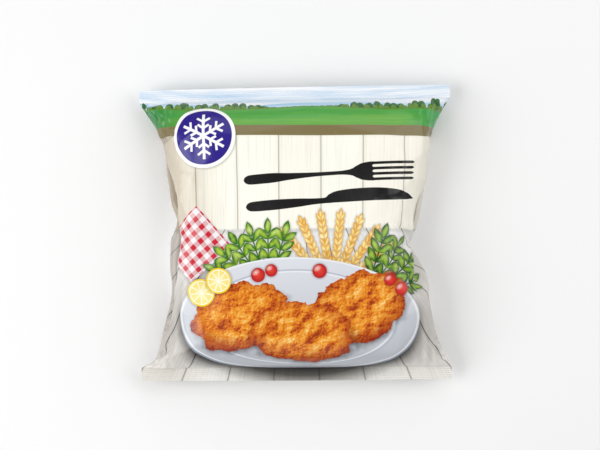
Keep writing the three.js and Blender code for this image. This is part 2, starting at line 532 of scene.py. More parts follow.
class Graph:
    """A node tree that is written as calls, each of which adds a node and wires its sockets."""

    def __init__(self, tree: bpy.types.NodeTree) -> None:
        """Takes over a tree and empties it."""
        self.tree = tree
        tree.nodes.clear()

    def add(self, kind: str, settings: dict[str, Any] | None = None, **sockets: Any) -> bpy.types.Node:
        """Adds one node.

        Args:
            kind: the node's type.
            settings: its properties, which are set first; "stops" fills a colour ramp.
            **sockets: values or links of its inputs, by name with _ for a space, or by n and a number.

        Returns:
            The node.
        """
        node = self.tree.nodes.new(kind)
        for name, value in (settings or {}).items():
            if name == "stops":
                elements = node.color_ramp.elements
                while len(elements) < len(value):
                    elements.new(0.5)
                for element, (position, colour) in zip(elements, value):
                    element.position, element.color = position, colour
            else:
                setattr(node, name, value)
        for name, value in sockets.items():
            number = name[0] == "n" and name[1:].isdigit()
            socket = node.inputs[int(name[1:]) if number else name.replace("_", " ")]
            value = value.socket if isinstance(value, Wire) else value
            if isinstance(value, bpy.types.NodeSocket):
                self.tree.links.new(value, socket)
            else:
                socket.default_value = value
        return node

    def maths(self, operation: str, *values: Number, clamp: bool = False) -> Wire:
        """A Math node's result.

        Args:
            operation: what the node does.
            *values: its inputs.
            clamp: whether the result is kept between 0 and 1.

        Returns:
            The result.
        """
        sockets = {f"n{i}": value for i, value in enumerate(values)}
        node = self.add("ShaderNodeMath", {"operation": operation, "use_clamp": clamp}, **sockets)
        return Wire(self, node.outputs[0])

    def profile(self, value: Wire, points: tuple[Pair, ...]) -> Wire:
        """A smooth curve through points, read at a value.

        Args:
            value: where it is read, on the points' own scale.
            points: pairs of a place and the curve's number there, with the places rising.

        Returns:
            The curve's number.
        """
        (first, last), reach = (points[0][0], points[-1][0]), max(abs(number) for _, number in points)
        node = self.add("ShaderNodeFloatCurve", Value=(value - first) / (last - first))
        curve = node.mapping.curves[0]
        while len(curve.points) < len(points):
            curve.points.new(0.5, 0.5)
        for point, (place, number) in zip(curve.points, points):
            point.location = ((place - first) / (last - first), number / reach / 2 + 0.5)
            point.handle_type = "AUTO_CLAMPED"
        node.mapping.update()
        return (Wire(self, node.outputs[0]) - 0.5) * (2 * reach)

    def split(self, vector: bpy.types.NodeSocket) -> tuple[Wire, Wire]:
        """The x and y of a vector."""
        node = self.add("ShaderNodeSeparateXYZ", Vector=vector)
        return Wire(self, node.outputs[0]), Wire(self, node.outputs[1])

    def join(self, x: Number = 0.0, y: Number = 0.0, z: Number = 0.0) -> bpy.types.NodeSocket:
        """A vector of three numbers."""
        return self.add("ShaderNodeCombineXYZ", X=x, Y=y, Z=z).outputs[0]

    def length(self, vector: bpy.types.NodeSocket) -> Wire:
        """A vector's length."""
        node = self.add("ShaderNodeVectorMath", {"operation": "LENGTH"}, n0=vector)
        return Wire(self, node.outputs["Value"])

    def scaled(self, vector: bpy.types.NodeSocket, by: Wire) -> bpy.types.NodeSocket:
        """A vector times a number."""
        return self.add("ShaderNodeVectorMath", {"operation": "SCALE"}, n0=vector, Scale=by).outputs[0]

    def spokes(
        self, place: bpy.types.NodeSocket, sector: float, ends: tuple[int, int] | None = None
    ) -> tuple[Wire, Wire]:
        """A place as seen from the nearest one of the spokes round a middle.

        Args:
            place: the place from the middle.
            sector: the angle from spoke to spoke, in radians.
            ends: the numbers of the first and the last spoke, where they don't go all round.

        Returns:
            How far out the place lies, and its angle from its spoke.
        """
        x, y = self.split(place)
        angle = self.maths("ARCTAN2", y, x)
        spoke = self.maths("ROUND", angle / sector)
        if ends:
            spoke = spoke.most(float(ends[0])).least(float(ends[1]))
        return self.length(place), angle - spoke * sector

    def noise(self, vector: bpy.types.NodeSocket, scale: float, detail: float = 2.0) -> Wire:
        """Smooth noise from 0 to 1 over a vector.

        Args:
            vector: where it is read.
            scale: how fine it is.
            detail: how many finer layers it has.

        Returns:
            The noise.
        """
        settings = {"noise_dimensions": "3D"}
        node = self.add("ShaderNodeTexNoise", settings, Vector=vector, Scale=scale, Detail=detail)
        return Wire(self, node.outputs[0])

    def blend(self, share: Number, below: Any, above: Any, way: str = "MIX") -> bpy.types.NodeSocket:
        """Two colours mixed, with above showing by share."""
        settings = {"data_type": "RGBA", "blend_type": way}
        return self.add("ShaderNodeMix", settings, n0=share, n6=below, n7=above).outputs[2]


def ink(code: str) -> tuple[float, float, float, float]:
    """A colour of the screen, such as "#F8F5E9", as the linear values that a node takes.

    Args:
        code: the colour in hexadecimal.

    Returns:
        Red, green, blue and 1.
    """
    parts = [int(code[i : i + 2], 16) / 255 for i in (1, 3, 5)]
    red, green, blue = (p / 12.92 if p <= 0.04045 else ((p + 0.055) / 1.055) ** 2.4 for p in parts)
    return red, green, blue, 1.0


def node_graph(holder: bpy.types.Material | bpy.types.World) -> Graph:
    """The node tree of a material or of the surroundings, emptied."""
    holder.use_nodes = True
    return Graph(holder.node_tree)


def placed(name: str, data: Any) -> bpy.types.Object:
    """A new object at the origin, for a mesh, a light or a camera.

    Args:
        name: the object's name.
        data: what it holds.

    Returns:
        The object.
    """
    thing = bpy.data.objects.new(name, data)
    bpy.context.scene.collection.objects.link(thing)
    return thing


# ---------------------------------------------------------------- the print


FOLDS = (-145.0, 145.0, 435.0)  # the print's x at the left fold, the right one and the left one again


def moved(at: Pair, by: Pair) -> Pair:
    """A place moved by a step."""
    return at[0] + by[0], at[1] + by[1]


class Canvas:
    """The print so far: a colour all over the film, and the film place that motifs are drawn at.

    Places are in millimetres from the middle of the front, x to its right and y towards the upper seal.
    """

    edge = 0.3  # how wide a printed edge is

    def __init__(self, graph: Graph, place: bpy.types.NodeSocket) -> None:
        """Starts with bare white film."""
        self.graph, self.place, self.colour = graph, place, ink("#FFFFFF")
        self.x, self.y = graph.split(place)

    def local(self, at: Pair, turn: float = 0.0, size: Pair = (1.0, 1.0)) -> bpy.types.NodeSocket:
        """The place as a motif sees it.

        Args:
            at: the motif's middle.
            turn: how far it is turned anticlockwise, in degrees.
            size: what one unit of the motif is in millimetres, along and across.

        Returns:
            The place from the motif's middle, along its own axes, in its own units.
        """
        node = self.graph.add(
            "ShaderNodeMapping",
            {"vector_type": "TEXTURE"},
            Vector=self.place,
            Location=(*at, 0.0),
            Rotation=(0.0, 0.0, math.radians(turn)),
            Scale=(*size, 1.0),
        )
        return node.outputs[0]

    def cover(self, distance: Wire, soft: float = edge) -> Wire:
        """1 inside a shape and 0 outside it, from the distance to its edge in millimetres."""
        return distance.ramp(-1 / soft, 0.5)

    def lay(self, cover: Number, colour: Any) -> None:
        """Prints a colour over what is there, where cover is 1."""
        self.colour = self.graph.blend(cover, self.colour, colour)

    def shade(self, cover: Number, tint: Any) -> None:
        """Multiplies what is there by a tint, where cover is 1."""
        self.colour = self.graph.blend(cover, self.colour, tint, "MULTIPLY")

    def oval(self, at: Pair, size: Pair, turn: float = 0.0, wobble: Number = 0.0) -> Wire:
        """The distance to an oval's edge, by its half sizes. Wobble moves the edge by a share of them."""
        reach = self.graph.length(self.local(at, turn, size)) + wobble
        return (reach - 1.0) * min(size)

    def bar(self, at: Pair, size: Pair, turn: float, corner: float) -> Wire:
        """The distance to the edge of a bar with rounded corners, by its half sizes.

        Args:
            at: the bar's middle.
            size: its half sizes.
            turn: how far it is turned anticlockwise, in degrees.
            corner: its corners' radius.

        Returns:
            The distance in millimetres.
        """
        x, y = self.graph.split(self.local(at, turn))
        right = (abs(x) - (size[0] - corner)).most(0.0)
        up = (abs(y) - (size[1] - corner)).most(0.0)
        return self.graph.length(self.graph.join(right, up)) - corner


@dataclass(frozen=True)
class Shadow:
    """A soft shadow: how far past a shape it reaches, how soft its edge is, its strength and its tint."""

    reach: float
    soft: float
    strength: float
    tint: str

    def fall(self, canvas: Canvas, distance: Wire) -> None:
        """Darkens the print, from the distance to the shape's edge."""
        canvas.shade(canvas.cover(distance - self.reach, self.soft) * self.strength, ink(self.tint))


class Run(Enum):
    """Which way a field's boards run."""

    UPRIGHT = "upright"
    SPREADING = "spreading"


@dataclass(frozen=True)
class Boards:
    """A field of painted boards with fine grain and a thin joint between each two.

    Spreading boards widen towards the lower seal, like a table top, with their joints on lines that meet
    at meeting, a place up the film. Their pitch is the one at the seal. The grain's scale is across the
    boards, along them and from board to board. The printed shade beside a joint has a reach, a softness
    and a strength.
    """

    run: Run
    pitch: float
    first: float
    pale: str
    warm: str
    joint: str
    joint_width: float = 0.9
    streaks: float = 0.3
    warmth: float = 0.6
    grain_scale: Triple = (0.9, 0.02, 7.3)
    grain_ramp: Pair = (2.4, -1.15)
    joint_soft: float = 0.7
    # printed shade beside each joint: how far it reaches, its softness and its strength
    shade_and_wear: Triple = (2.2, 3.0, 0.12)
    meeting: float = 120.0
    foot: float = -137.0
    face_width: float = 290.0

    def _across(self, canvas: Canvas) -> Wire:
        """The place across the boards, counted from the middle of each face where they spread.

        Args:
            canvas: the print so far.

        Returns:
            The place in millimetres.
        """
        if self.run is Run.UPRIGHT:
            return canvas.x
        face = canvas.graph.maths("ROUND", canvas.x / self.face_width) * self.face_width
        return (canvas.x - face) * (self.meeting - self.foot) / (self.meeting - canvas.y)

    def paint(self, canvas: Canvas) -> bpy.types.NodeSocket:
        """The boards' colour all over the film.

        Args:
            canvas: the print so far.

        Returns:
            The colour.
        """
        graph, across = canvas.graph, self._across(canvas)
        step = (across - self.first) / self.pitch
        board = graph.maths("FLOOR", step)
        away = (0.5 - abs(graph.maths("FRACT", step) - 0.5)) * self.pitch
        chance = graph.add("ShaderNodeTexWhiteNoise", {"noise_dimensions": "1D"}, W=board)
        fine, long, apart = self.grain_scale
        grain = graph.noise(graph.join(across * fine, canvas.y * long, board * apart), 1.0, 3.0)
        joint = ink(self.joint)
        colour = graph.blend(Wire(graph, chance.outputs[0]) * self.warmth, ink(self.pale), ink(self.warm))
        colour = graph.blend(grain.ramp(*self.grain_ramp) * self.streaks, colour, joint)
        colour = graph.blend(canvas.cover(away - self.joint_width / 2, self.joint_soft), colour, joint)
        # printed shade beside each joint, laid in the joint's colour
        reach, soft, strength = self.shade_and_wear
        return graph.blend(canvas.cover(away - reach, soft) * strength, colour, joint)


@dataclass(frozen=True)
class Heading:
    """The fields along the bag's upper end: sky, mist, trees, far and near green hills and a brown stripe.

    They rise towards the folds, so that they look level from above on the filled bag, whose corners draw
    the film down, and painted shade of the folds, a deeper green, covers the hills there. Each wave is a
    count round the tube, a phase and a height. Each row of trees is a pitch, a height, a shift and the two
    greens of its leaves.
    """

    stripe_bottom: float = 88.0
    stripe_top: float = 97.5
    hill_top: float = 117.0
    round_tube: float = 580.0
    fold_rises: Triple = (10.0, 4.6, 10.0)
    rise_width: float = 33.0
    sky_scale: Triple = (0.012, 0.16, 3.0)
    sky_ramp: Pair = (3.0, -1.1)
    mist_rise: float = 6.6
    mist_soft: float = 2.5
    mist_streaks: float = 0.6
    haze_rise: float = 1.6
    haze_soft: float = 5.0
    haze_waves: float = 0.4
    haze_strength: float = 0.6
    ridge_waves: tuple[Triple, ...] = ((3, 0.4, 2.2), (8, 2.0, 0.8))
    ground_waves: tuple[Triple, ...] = ((3, 1.1, 1.8), (7, 0.0, 0.5))
    grove_waves: tuple[Triple, ...] = ((3, 4.5, 1.0),)
    grove_ramp: Pair = (1.2, 0.9)
    near_waves: tuple[Triple, ...] = ((2, -0.6, 2.6),)
    near_rise: float = 8.5
    trees: tuple[tuple[float, float, float, str, str], ...] = (
        (8.2, 10.8, 0.3, "#12461D", "#347A2E"),
        (5.4, 6.0, 7.7, "#1A5E24", "#86A83C"),
    )
    crown_roundness: float = 4.4
    crown_heights: Pair = (0.45, 0.9)
    leaf_scale: Triple = (0.7, 0.7, 3.0)
    leaf_depth: float = 3.0
    tree_foot: float = 1.4
    far_scale: Triple = (0.04, 0.35, 2.0)
    far_soft: float = 1.2
    near_scale: Triple = (0.02, 0.6, 2.0)
    near_soft: float = 1.6
    # painted shade of the folds: a deeper green laid over the hills beside each fold
    corner_shade_greens: tuple[str, str, str] = ("#0F7A38", "#2B9E4A", "#0F7A38")
    corner_reach: float = 30.0
    corner_soft: float = 40.0
    corner_top_soft: float = 3.0
    corner_strength: float = 0.9
    stripe_shadow: Shadow = Shadow(0.0, 5.0, 0.4, "#D8D2C2")

    def _level(self, canvas: Canvas) -> Wire:
        """The film's y less the fields' rise towards each fold.

        Args:
            canvas: the print so far.

        Returns:
            The height that the fields are drawn by.
        """
        level = canvas.y
        for fold, rise in zip(FOLDS, self.fold_rises):
            away = (canvas.x - fold) / self.rise_width
            level = level - rise / (away * away + 1.0)
        return level

    def _roll(self, canvas: Canvas, waves: tuple[Triple, ...]) -> Wire:
        """A sum of sines along the fields, each with a whole count of waves round the tube.

        Args:
            canvas: the print so far.
            waves: the count, the phase and the height of each.

        Returns:
            The sum.
        """
        sines = [
            canvas.graph.maths("SINE", canvas.x * (count * TAU / self.round_tube) + phase) * height
            for count, phase, height in waves
        ]
        return sum(sines[1:], sines[0])

    def _mottle(self, canvas: Canvas, level: Wire, scale: Triple) -> Wire:
        """Noise from 0 to 1, by its scale along the fields, its scale up them and its detail."""
        along, up, detail = scale
        return canvas.graph.noise(canvas.graph.join(canvas.x * along, level * up), 1.0, detail)

    def _crowns(self, canvas: Canvas, pitch: float, height: float, shift: float) -> Wire:
        """How high a row of round treetops stands, each about a pitch wide.

        Args:
            canvas: the print so far.
            pitch: the trees' spacing.
            height: their height.
            shift: where the row starts.

        Returns:
            The height over the ground.
        """
        graph, settings = canvas.graph, {"voronoi_dimensions": "1D"}
        cells = graph.add("ShaderNodeTexVoronoi", settings, W=canvas.x / pitch + shift, Scale=1.0)
        near, chance = Wire(graph, cells.outputs["Distance"]), Wire(graph, cells.outputs["Color"])
        least, spare = self.crown_heights
        dome = (1.0 - near * near * self.crown_roundness).most(0.0) ** 0.5
        return dome * (chance * spare + least) * height

    def _sky(self, canvas: Canvas, level: Wire, above: Wire) -> None:
        """Prints the streaked sky, the mist over the hills and the pale haze at their top.

        Args:
            canvas: the print so far.
            level: the height that the fields are drawn by.
            above: 1 above the stripe and 0 below it.
        """
        graph = canvas.graph
        streaks = self._mottle(canvas, level, self.sky_scale).ramp(*self.sky_ramp)
        canvas.lay(above, graph.blend(streaks, ink("#F8FAFD"), ink("#C3DBF1")))
        ridge = self._roll(canvas, self.ridge_waves)
        blue = graph.blend(streaks * self.mist_streaks, ink("#A3CEEC"), ink("#CFE4F4"))
        mist = canvas.cover(level - self.hill_top - self.mist_rise - ridge, self.mist_soft)
        canvas.lay(above * mist, blue)
        top = level - self.hill_top - self.haze_rise - ridge * self.haze_waves
        canvas.lay(above * canvas.cover(top, self.haze_soft) * self.haze_strength, ink("#E3EFF7"))

    def _groves(self, canvas: Canvas, level: Wire, over: Wire, above: Wire) -> None:
        """Prints the rows of trees, which stand lower between the groves.

        Args:
            canvas: the print so far.
            level: the height that the fields are drawn by.
            over: the height over the far hills' foot.
            above: 1 above the stripe and 0 below it.
        """
        grove = self._roll(canvas, self.grove_waves).ramp(*self.grove_ramp)
        leaves = self._mottle(canvas, level, self.leaf_scale)
        over = over + (leaves - 0.5) * self.leaf_depth
        for pitch, height, shift, shady, sunny in self.trees:
            crowns = self._crowns(canvas, pitch, height, shift) * grove
            green = canvas.graph.blend(leaves, ink(shady), ink(sunny))
            canvas.lay(above * canvas.cover(over - crowns), green)

    def _hills(self, canvas: Canvas, level: Wire, over: Wire, above: Wire) -> None:
        """Prints the far hills, the near ones and the painted shade of the folds, a deeper green beside
        them.

        Args:
            canvas: the print so far.
            level: the height that the fields are drawn by.
            over: the height over the far hills' foot.
            above: 1 above the stripe and 0 below it.
        """
        graph, foot = canvas.graph, over + self.tree_foot
        far = graph.blend(self._mottle(canvas, level, self.far_scale), ink("#349A45"), ink("#6BB34D"))
        canvas.lay(above * canvas.cover(foot, self.far_soft), far)
        roll = self._roll(canvas, self.near_waves) + self.stripe_top + self.near_rise
        near = graph.blend(self._mottle(canvas, level, self.near_scale), ink("#3F9C38"), ink("#7DB84A"))
        canvas.lay(above * canvas.cover(level - roll, self.near_soft), near)
        # painted shade of the folds: a deeper green laid over the hills beside each fold
        for fold, green in zip(FOLDS, self.corner_shade_greens):
            beside = canvas.cover(abs(canvas.x - fold) - self.corner_reach, self.corner_soft)
            corner = canvas.cover(foot, self.corner_top_soft) * beside
            canvas.lay(above * corner * self.corner_strength, ink(green))

    def draw(self, canvas: Canvas) -> None:
        """Prints the fields from the upper seal down.

        Args:
            canvas: the print so far.
        """
        level = self._level(canvas)
        above = canvas.cover(self.stripe_top - level)
        self._sky(canvas, level, above)
        over = level - (self._roll(canvas, self.ground_waves) + self.hill_top)
        self._groves(canvas, level, over, above)
        self._hills(canvas, level, over, above)
        middle = (self.stripe_top + self.stripe_bottom) / 2
        stripe = abs(level - middle) - (self.stripe_top - self.stripe_bottom) / 2
        self.stripe_shadow.fall(canvas, stripe)
        canvas.lay(canvas.cover(stripe), ink("#7F724A"))


@dataclass(frozen=True)
class FrostBadge:
    """A round badge with a frost star, in a white rim.

    An arm of the star is its length and its half width. A twig is where it leaves the arm and its length.
    """

    at: Pair = (-82.0, 90.0)
    turn: float = 30.0
    radius: float = 29.0
    rim: float = 3.2
    arms: int = 6
    arm: Pair = (21.0, 1.25)
    twigs: tuple[Pair, ...] = ((7.0, 6.0), (13.0, 7.0))
    twig_lean: float = 56.0
    twig_half_width: float = 1.05
    twig_root: float = 0.5
    white: str = "#FBFBFA"
    blue: str = "#2A1A86"
    shadow_shift: Pair = (0.9, -1.2)
    shadow: Shadow = Shadow(0.0, 2.4, 0.5, "#8F8A80")

    def draw(self, canvas: Canvas) -> None:
        """Prints the badge and its soft shadow.

        Args:
            canvas: the print so far.
        """
        graph = canvas.graph
        under = canvas.oval(moved(self.at, self.shadow_shift), (self.radius, self.radius))
        self.shadow.fall(canvas, under)
        reach, turned = graph.spokes(canvas.local(self.at, self.turn), TAU / self.arms)
        canvas.lay(canvas.cover(reach - self.radius), ink(self.white))
        canvas.lay(canvas.cover(reach - self.radius + self.rim), ink(self.blue))
        along, beside = reach * graph.maths("COSINE", turned), abs(reach * graph.maths("SINE", turned))
        star = (beside - self.arm[1]).most(along - self.arm[0])
        c, s = math.cos(math.radians(self.twig_lean)), math.sin(math.radians(self.twig_lean))
        for root, length in self.twigs:
            out = (along - root) * c + beside * s
            off = abs(beside * c - (along - root) * s) - self.twig_half_width
            star = star.least(off.most(out - length).most(-self.twig_root - out))
        canvas.lay(canvas.cover(star), ink(self.white))


@dataclass(frozen=True)
class Cutlery:
    """A fork over a knife, both lying level, as flat dark shapes cut to smooth outlines.

    Each outline is given as pairs of a place along the piece and its half width there.
    """

    at: Pair = (33.0, 42.0)
    turn: float = 4.0
    half_gap: float = 12.0
    half_length: float = 79.0
    fork: tuple[Pair, ...] = (
        (-79, 0.0), (-77, 2.9), (-72, 4.3), (-58, 4.4), (-36, 3.0), (-14, 1.9), (6, 1.7),
        (16, 2.4), (24, 5.6), (31, 8.0), (38, 8.6), (60, 8.6), (79, 8.4),
    )
    knife: tuple[Pair, ...] = (
        (-79, 0.0), (-77, 2.9), (-72, 4.3), (-58, 4.6), (-34, 3.9), (-14, 2.6), (-8, 2.5),
        (-3, 3.9), (8, 5.4), (32, 5.9), (54, 5.2), (69, 3.3), (79, 0.3),
    )
    knife_middle: tuple[Pair, ...] = (
        (-79, 0), (-9, 0), (-3, 1.4), (8, 2.9), (32, 3.4), (54, 2.7), (69, 0.8), (79, -2),
    )
    tine_pitch: float = 4.8
    tine_end: float = 77.5
    tine_curve: float = 1.4
    slot_half_width: float = 1.15
    slot_start: float = 38.0

    def draw(self, canvas: Canvas) -> None:
        """Prints both.

        Args:
            canvas: the print so far.
        """
        graph = canvas.graph
        x, y = graph.split(canvas.local(self.at, self.turn))
        up = y - self.half_gap
        off = (graph.maths("FRACT", up / self.tine_pitch + 0.5) - 0.5) * self.tine_pitch
        slot = (abs(off) - self.slot_half_width).most(self.slot_start - x + off * off)
        beside = (graph.maths("FRACT", up / self.tine_pitch) - 0.5) * self.tine_pitch
        tip = x - self.tine_end + beside * beside * self.tine_curve
        fork = (abs(up) - graph.profile(x, self.fork)).most(0.0 - slot).most(tip)
        down = y + self.half_gap - graph.profile(x, self.knife_middle)
        knife = abs(down) - graph.profile(x, self.knife)
        canvas.lay(canvas.cover(fork.least(knife).most(abs(x) - self.half_length)), ink("#0F0E0E"))


@dataclass(frozen=True)
class CheckedCloth:
    """The corner of a cloth in a plain red and white check, with a hem of an inset and a half width."""

    at: Pair = (-93.0, -8.0)
    half: float = 25.0
    turn: float = 41.0
    check: float = 4.6
    corner: float = 2.0
    hem: Pair = (2.0, 0.4)
    white: str = "#F1EEF0"
    red: str = "#CC1F33"
    shadow_shift: Pair = (1.5, -3.0)
    shadow_corner: float = 6.0
    shadow: Shadow = Shadow(0.0, 5.0, 0.7, "#8A8682")

    def draw(self, canvas: Canvas) -> None:
        """Prints the cloth, its hem and its soft shadow.

        Args:
            canvas: the print so far.
        """
        graph, size = canvas.graph, (self.half, self.half)
        x, y = graph.split(canvas.local(self.at, self.turn))
        under = canvas.bar(moved(self.at, self.shadow_shift), size, self.turn, self.shadow_corner)
        self.shadow.fall(canvas, under)
        warp, weft = (
            graph.maths("GREATER_THAN", graph.maths("FRACT", way / (2 * self.check)), 0.5)
            for way in (x, y)
        )
        cloth = graph.blend((warp + weft) * 0.5, ink(self.white), ink(self.red))
        hem = abs(abs(x).most(abs(y)) - self.half + self.hem[0]) - self.hem[1]
        cloth = graph.blend(canvas.cover(hem), cloth, ink(self.white))
        canvas.lay(canvas.cover(canvas.bar(self.at, size, self.turn, self.corner)), cloth)


@dataclass(frozen=True)
class SprigFan:
    """Straight sprigs that spread from one point, each a stem with leaves or grains in pairs.

    Reach is the numbers of the first and the last sprig, counted from the one in the middle. A leaf is its
    length and half width, and leans off its stem.
    """

    at: Pair
    turn: float
    spread: float
    reach: tuple[int, int]
    start: float
    pairs: int
    pitch: float
    leaf: Pair
    lean: float
    stem: float
    edge: str
    middle: str
    light: str
    tone_scale: float = 0.14
    tone_gain: float = 2.2
    vein_ramp: Pair = (1.2, -1.25)
    patch_scale: float = 0.06
    patch_ramp: Pair = (4.0, -1.9)
    patch_strength: float = 0.6
    shadow: Shadow = Shadow(1.0, 2.5, 0.4, "#6E6A60")

    def _outline(self, canvas: Canvas) -> Wire:
        """The distance to the edge of the nearest stem or leaf.

        Args:
            canvas: the print so far.

        Returns:
            The distance in millimetres, which is negative inside.
        """
        graph, place = canvas.graph, canvas.local(self.at, self.turn)
        far, turned = graph.spokes(place, math.radians(self.spread), self.reach)
        along = far * graph.maths("COSINE", turned) - self.start
        beside = abs(far * graph.maths("SINE", turned))
        span = self.pairs * self.pitch
        shape = (beside - self.stem).most(abs(along - span / 2) - span / 2)
        half, width = self.leaf[0] / 2, self.leaf[1]
        c, s = math.cos(math.radians(self.lean)), math.sin(math.radians(self.lean))
        cell = graph.maths("FLOOR", along / self.pitch)
        for back in (0.0, 1.0):
            own = (cell - back).least(self.pairs - 1.0).most(0.0)
            out = along - (own + 0.5) * self.pitch
            tip = (out * c + beside * s) / half - 1.0
            shape = shape.least(abs(beside * c - out * s) - (1.0 - tip * tip) * width)
        tip = (along - span) / half - 1.0
        return shape.least(beside - (1.0 - tip * tip) * width)

    def draw(self, canvas: Canvas) -> None:
        """Prints the fan, with each leaf lighter down its middle and some of them lighter still.

        Args:
            canvas: the print so far.
        """
        graph, shape = canvas.graph, self._outline(canvas)
        tone = graph.noise(canvas.place, self.tone_scale)
        patch = graph.noise(canvas.place, self.patch_scale).ramp(*self.patch_ramp)
        gain, start = self.vein_ramp
        depth = tone.ramp(self.tone_gain, shape.ramp(-1.0 / self.leaf[1]) * gain + start)
        colour = graph.blend(depth, ink(self.edge), ink(self.middle))
        colour = graph.blend(patch * depth * self.patch_strength, colour, ink(self.light))
        self.shadow.fall(canvas, shape)
        canvas.lay(canvas.cover(shape), colour)


@dataclass(frozen=True)
class Platter:
    """An oval platter with a raised rim, seen from above.

    Each shadow is its size as a share of the platter's, its drop, its softness and its tint. Each ring is
    its place on the way out to the rim, its half width and its colour.
    """

    at: Pair = (3.0, -77.5)
    size: Pair = (110.0, 57.0)
    turn: float = -2.0
    shadows: tuple[tuple[float, float, float, str], ...] = (
        (1.06, 9.0, 32.0, "#BAB6B1"),
        (0.94, 20.0, 13.0, "#6A6866"),
        (1.0, 6.0, 7.0, "#5A5959"),
    )
    thickness: float = 2.2
    underside: str = "#8D97A6"
    shady: str = "#B2B7BE"
    bright: str = "#DDE0E6"
    rings: tuple[tuple[float, float, str], ...] = (
        (0.985, 0.5, "#F2F4F7"),
        (0.80, 0.7, "#AEB6C3"),
        (0.775, 0.6, "#EEF0F4"),
    )
    ring_soft: float = 0.8
    ring_strength: float = 0.8

    def draw(self, canvas: Canvas) -> None:
        """Prints the shadows, the underside, the face and its rings.

        Args:
            canvas: the print so far.
        """
        graph, (x, y) = canvas.graph, self.at
        for spread, drop, soft, tint in self.shadows:
            size = (self.size[0] * spread, self.size[1] * spread)
            canvas.shade(canvas.cover(canvas.oval((x, y - drop), size, self.turn), soft), ink(tint))
        under = canvas.oval((x, y - self.thickness), self.size, self.turn)
        canvas.lay(canvas.cover(under), ink(self.underside))
        reach = graph.length(canvas.local(self.at, self.turn, self.size))
        light = (canvas.y - y).ramp(0.5 / self.size[1], 0.5)
        face = graph.blend(light, ink(self.shady), ink(self.bright))
        canvas.lay(canvas.cover((reach - 1.0) * self.size[1]), face)
        for ring, half_width, colour in self.rings:
            line = abs(reach - ring) * self.size[1] - half_width
            canvas.lay(canvas.cover(line, self.ring_soft) * self.ring_strength, ink(colour))


@dataclass(frozen=True)
class GoldenRounds:
    """Crumbed rounds in golden brown, each with a darker rim and a soft shadow.

    Crumb and patch are noises of a scale and a detail. Lumps and grains have both, then the step over
    which they are lit and their strength. Low_rim is where the crust is lit from, so that it darkens
    towards the lower edge.
    """

    rounds: tuple[tuple[Pair, Pair, float], ...] = (
        ((-49.0, -73.0), (45.0, 30.0), 14.0),
        ((57.0, -67.0), (44.0, 31.0), 22.0),
        ((5.0, -89.0), (47.0, 29.0), -6.0),
    )
    stops: tuple[tuple[float, str], ...] = (
        (0.12, "#9A3405"),
        (0.28, "#CF640E"),
        (0.45, "#E9901F"),
        (0.62, "#F4B148"),
        (0.84, "#FFDF9A"),
    )
    crumb: Pair = (0.42, 4.0)
    crumb_strength: float = 0.4
    crumb_wobble: float = 0.09
    patch: Pair = (0.07, 2.0)
    patch_strength: float = 0.7
    patch_wobble: float = 0.5
    lumps: tuple[float, float, float, float] = (0.085, 2.0, 2.2, 1.3)
    grains: tuple[float, float, float, float] = (0.45, 3.0, 0.45, 0.9)
    brightness: float = 0.405
    rim_width: float = 9.0
    rim_curve: float = 0.6
    rim_tint: str = "#D08848"
    low_rim: Pair = (-2.0, 8.0)
    low_width: float = 12.0
    low_start: float = 0.4
    low_strength: float = 0.8
    low_tint: str = "#C07038"
    shadow_shift: Pair = (1.5, -3.5)
    shadow: Shadow = Shadow(0.0, 7.0, 0.75, "#6A6060")

    def _relief(self, canvas: Canvas, scale: float, detail: float, step: float, strength: float) -> Wire:
        """How far bumps are lit where they face the print's upper left, or shaded behind it.

        Args:
            canvas: the print so far.
            scale: how fine the bumps are.
            detail: how many finer layers they have.
            step: how far away the height is read that shades them.
            strength: how strong the light is.

        Returns:
            The light, around 0.
        """
        graph = canvas.graph
        towards = graph.join(canvas.x - step, canvas.y + step)
        return (graph.noise(canvas.place, scale, detail) - graph.noise(towards, scale, detail)) * strength

    def draw(self, canvas: Canvas) -> None:
        """Prints the rounds from the back one to the front one.

        Args:
            canvas: the print so far.
        """
        graph = canvas.graph
        crumb = graph.noise(canvas.place, *self.crumb) - 0.5
        patch = graph.noise(canvas.place, *self.patch) - 0.5
        relief = self._relief(canvas, *self.lumps) + self._relief(canvas, *self.grains)
        mixed = relief + patch * self.patch_strength + crumb * self.crumb_strength + self.brightness
        stops = [(position, ink(code)) for position, code in self.stops]
        crust = graph.add("ShaderNodeValToRGB", {"stops": stops}, Fac=mixed).outputs[0]
        outline = patch * self.patch_wobble
        wobble = outline + crumb * self.crumb_wobble
        for at, size, turn in self.rounds:
            self.shadow.fall(canvas, canvas.oval(moved(at, self.shadow_shift), size, turn, outline))
            shape = canvas.oval(at, size, turn, wobble)
            inside = shape.ramp(-1 / self.rim_width) ** self.rim_curve
            lit = graph.blend(inside, ink(self.rim_tint), ink("#FFFFFF"))
            raised = canvas.oval(moved(at, self.low_rim), size, turn, outline)
            low = raised.ramp(1 / self.low_width, self.low_start) * self.low_strength
            lit = graph.blend(low, lit, graph.blend(1.0, lit, ink(self.low_tint), "MULTIPLY"))
            canvas.lay(canvas.cover(shape), graph.blend(1.0, crust, lit, "MULTIPLY"))


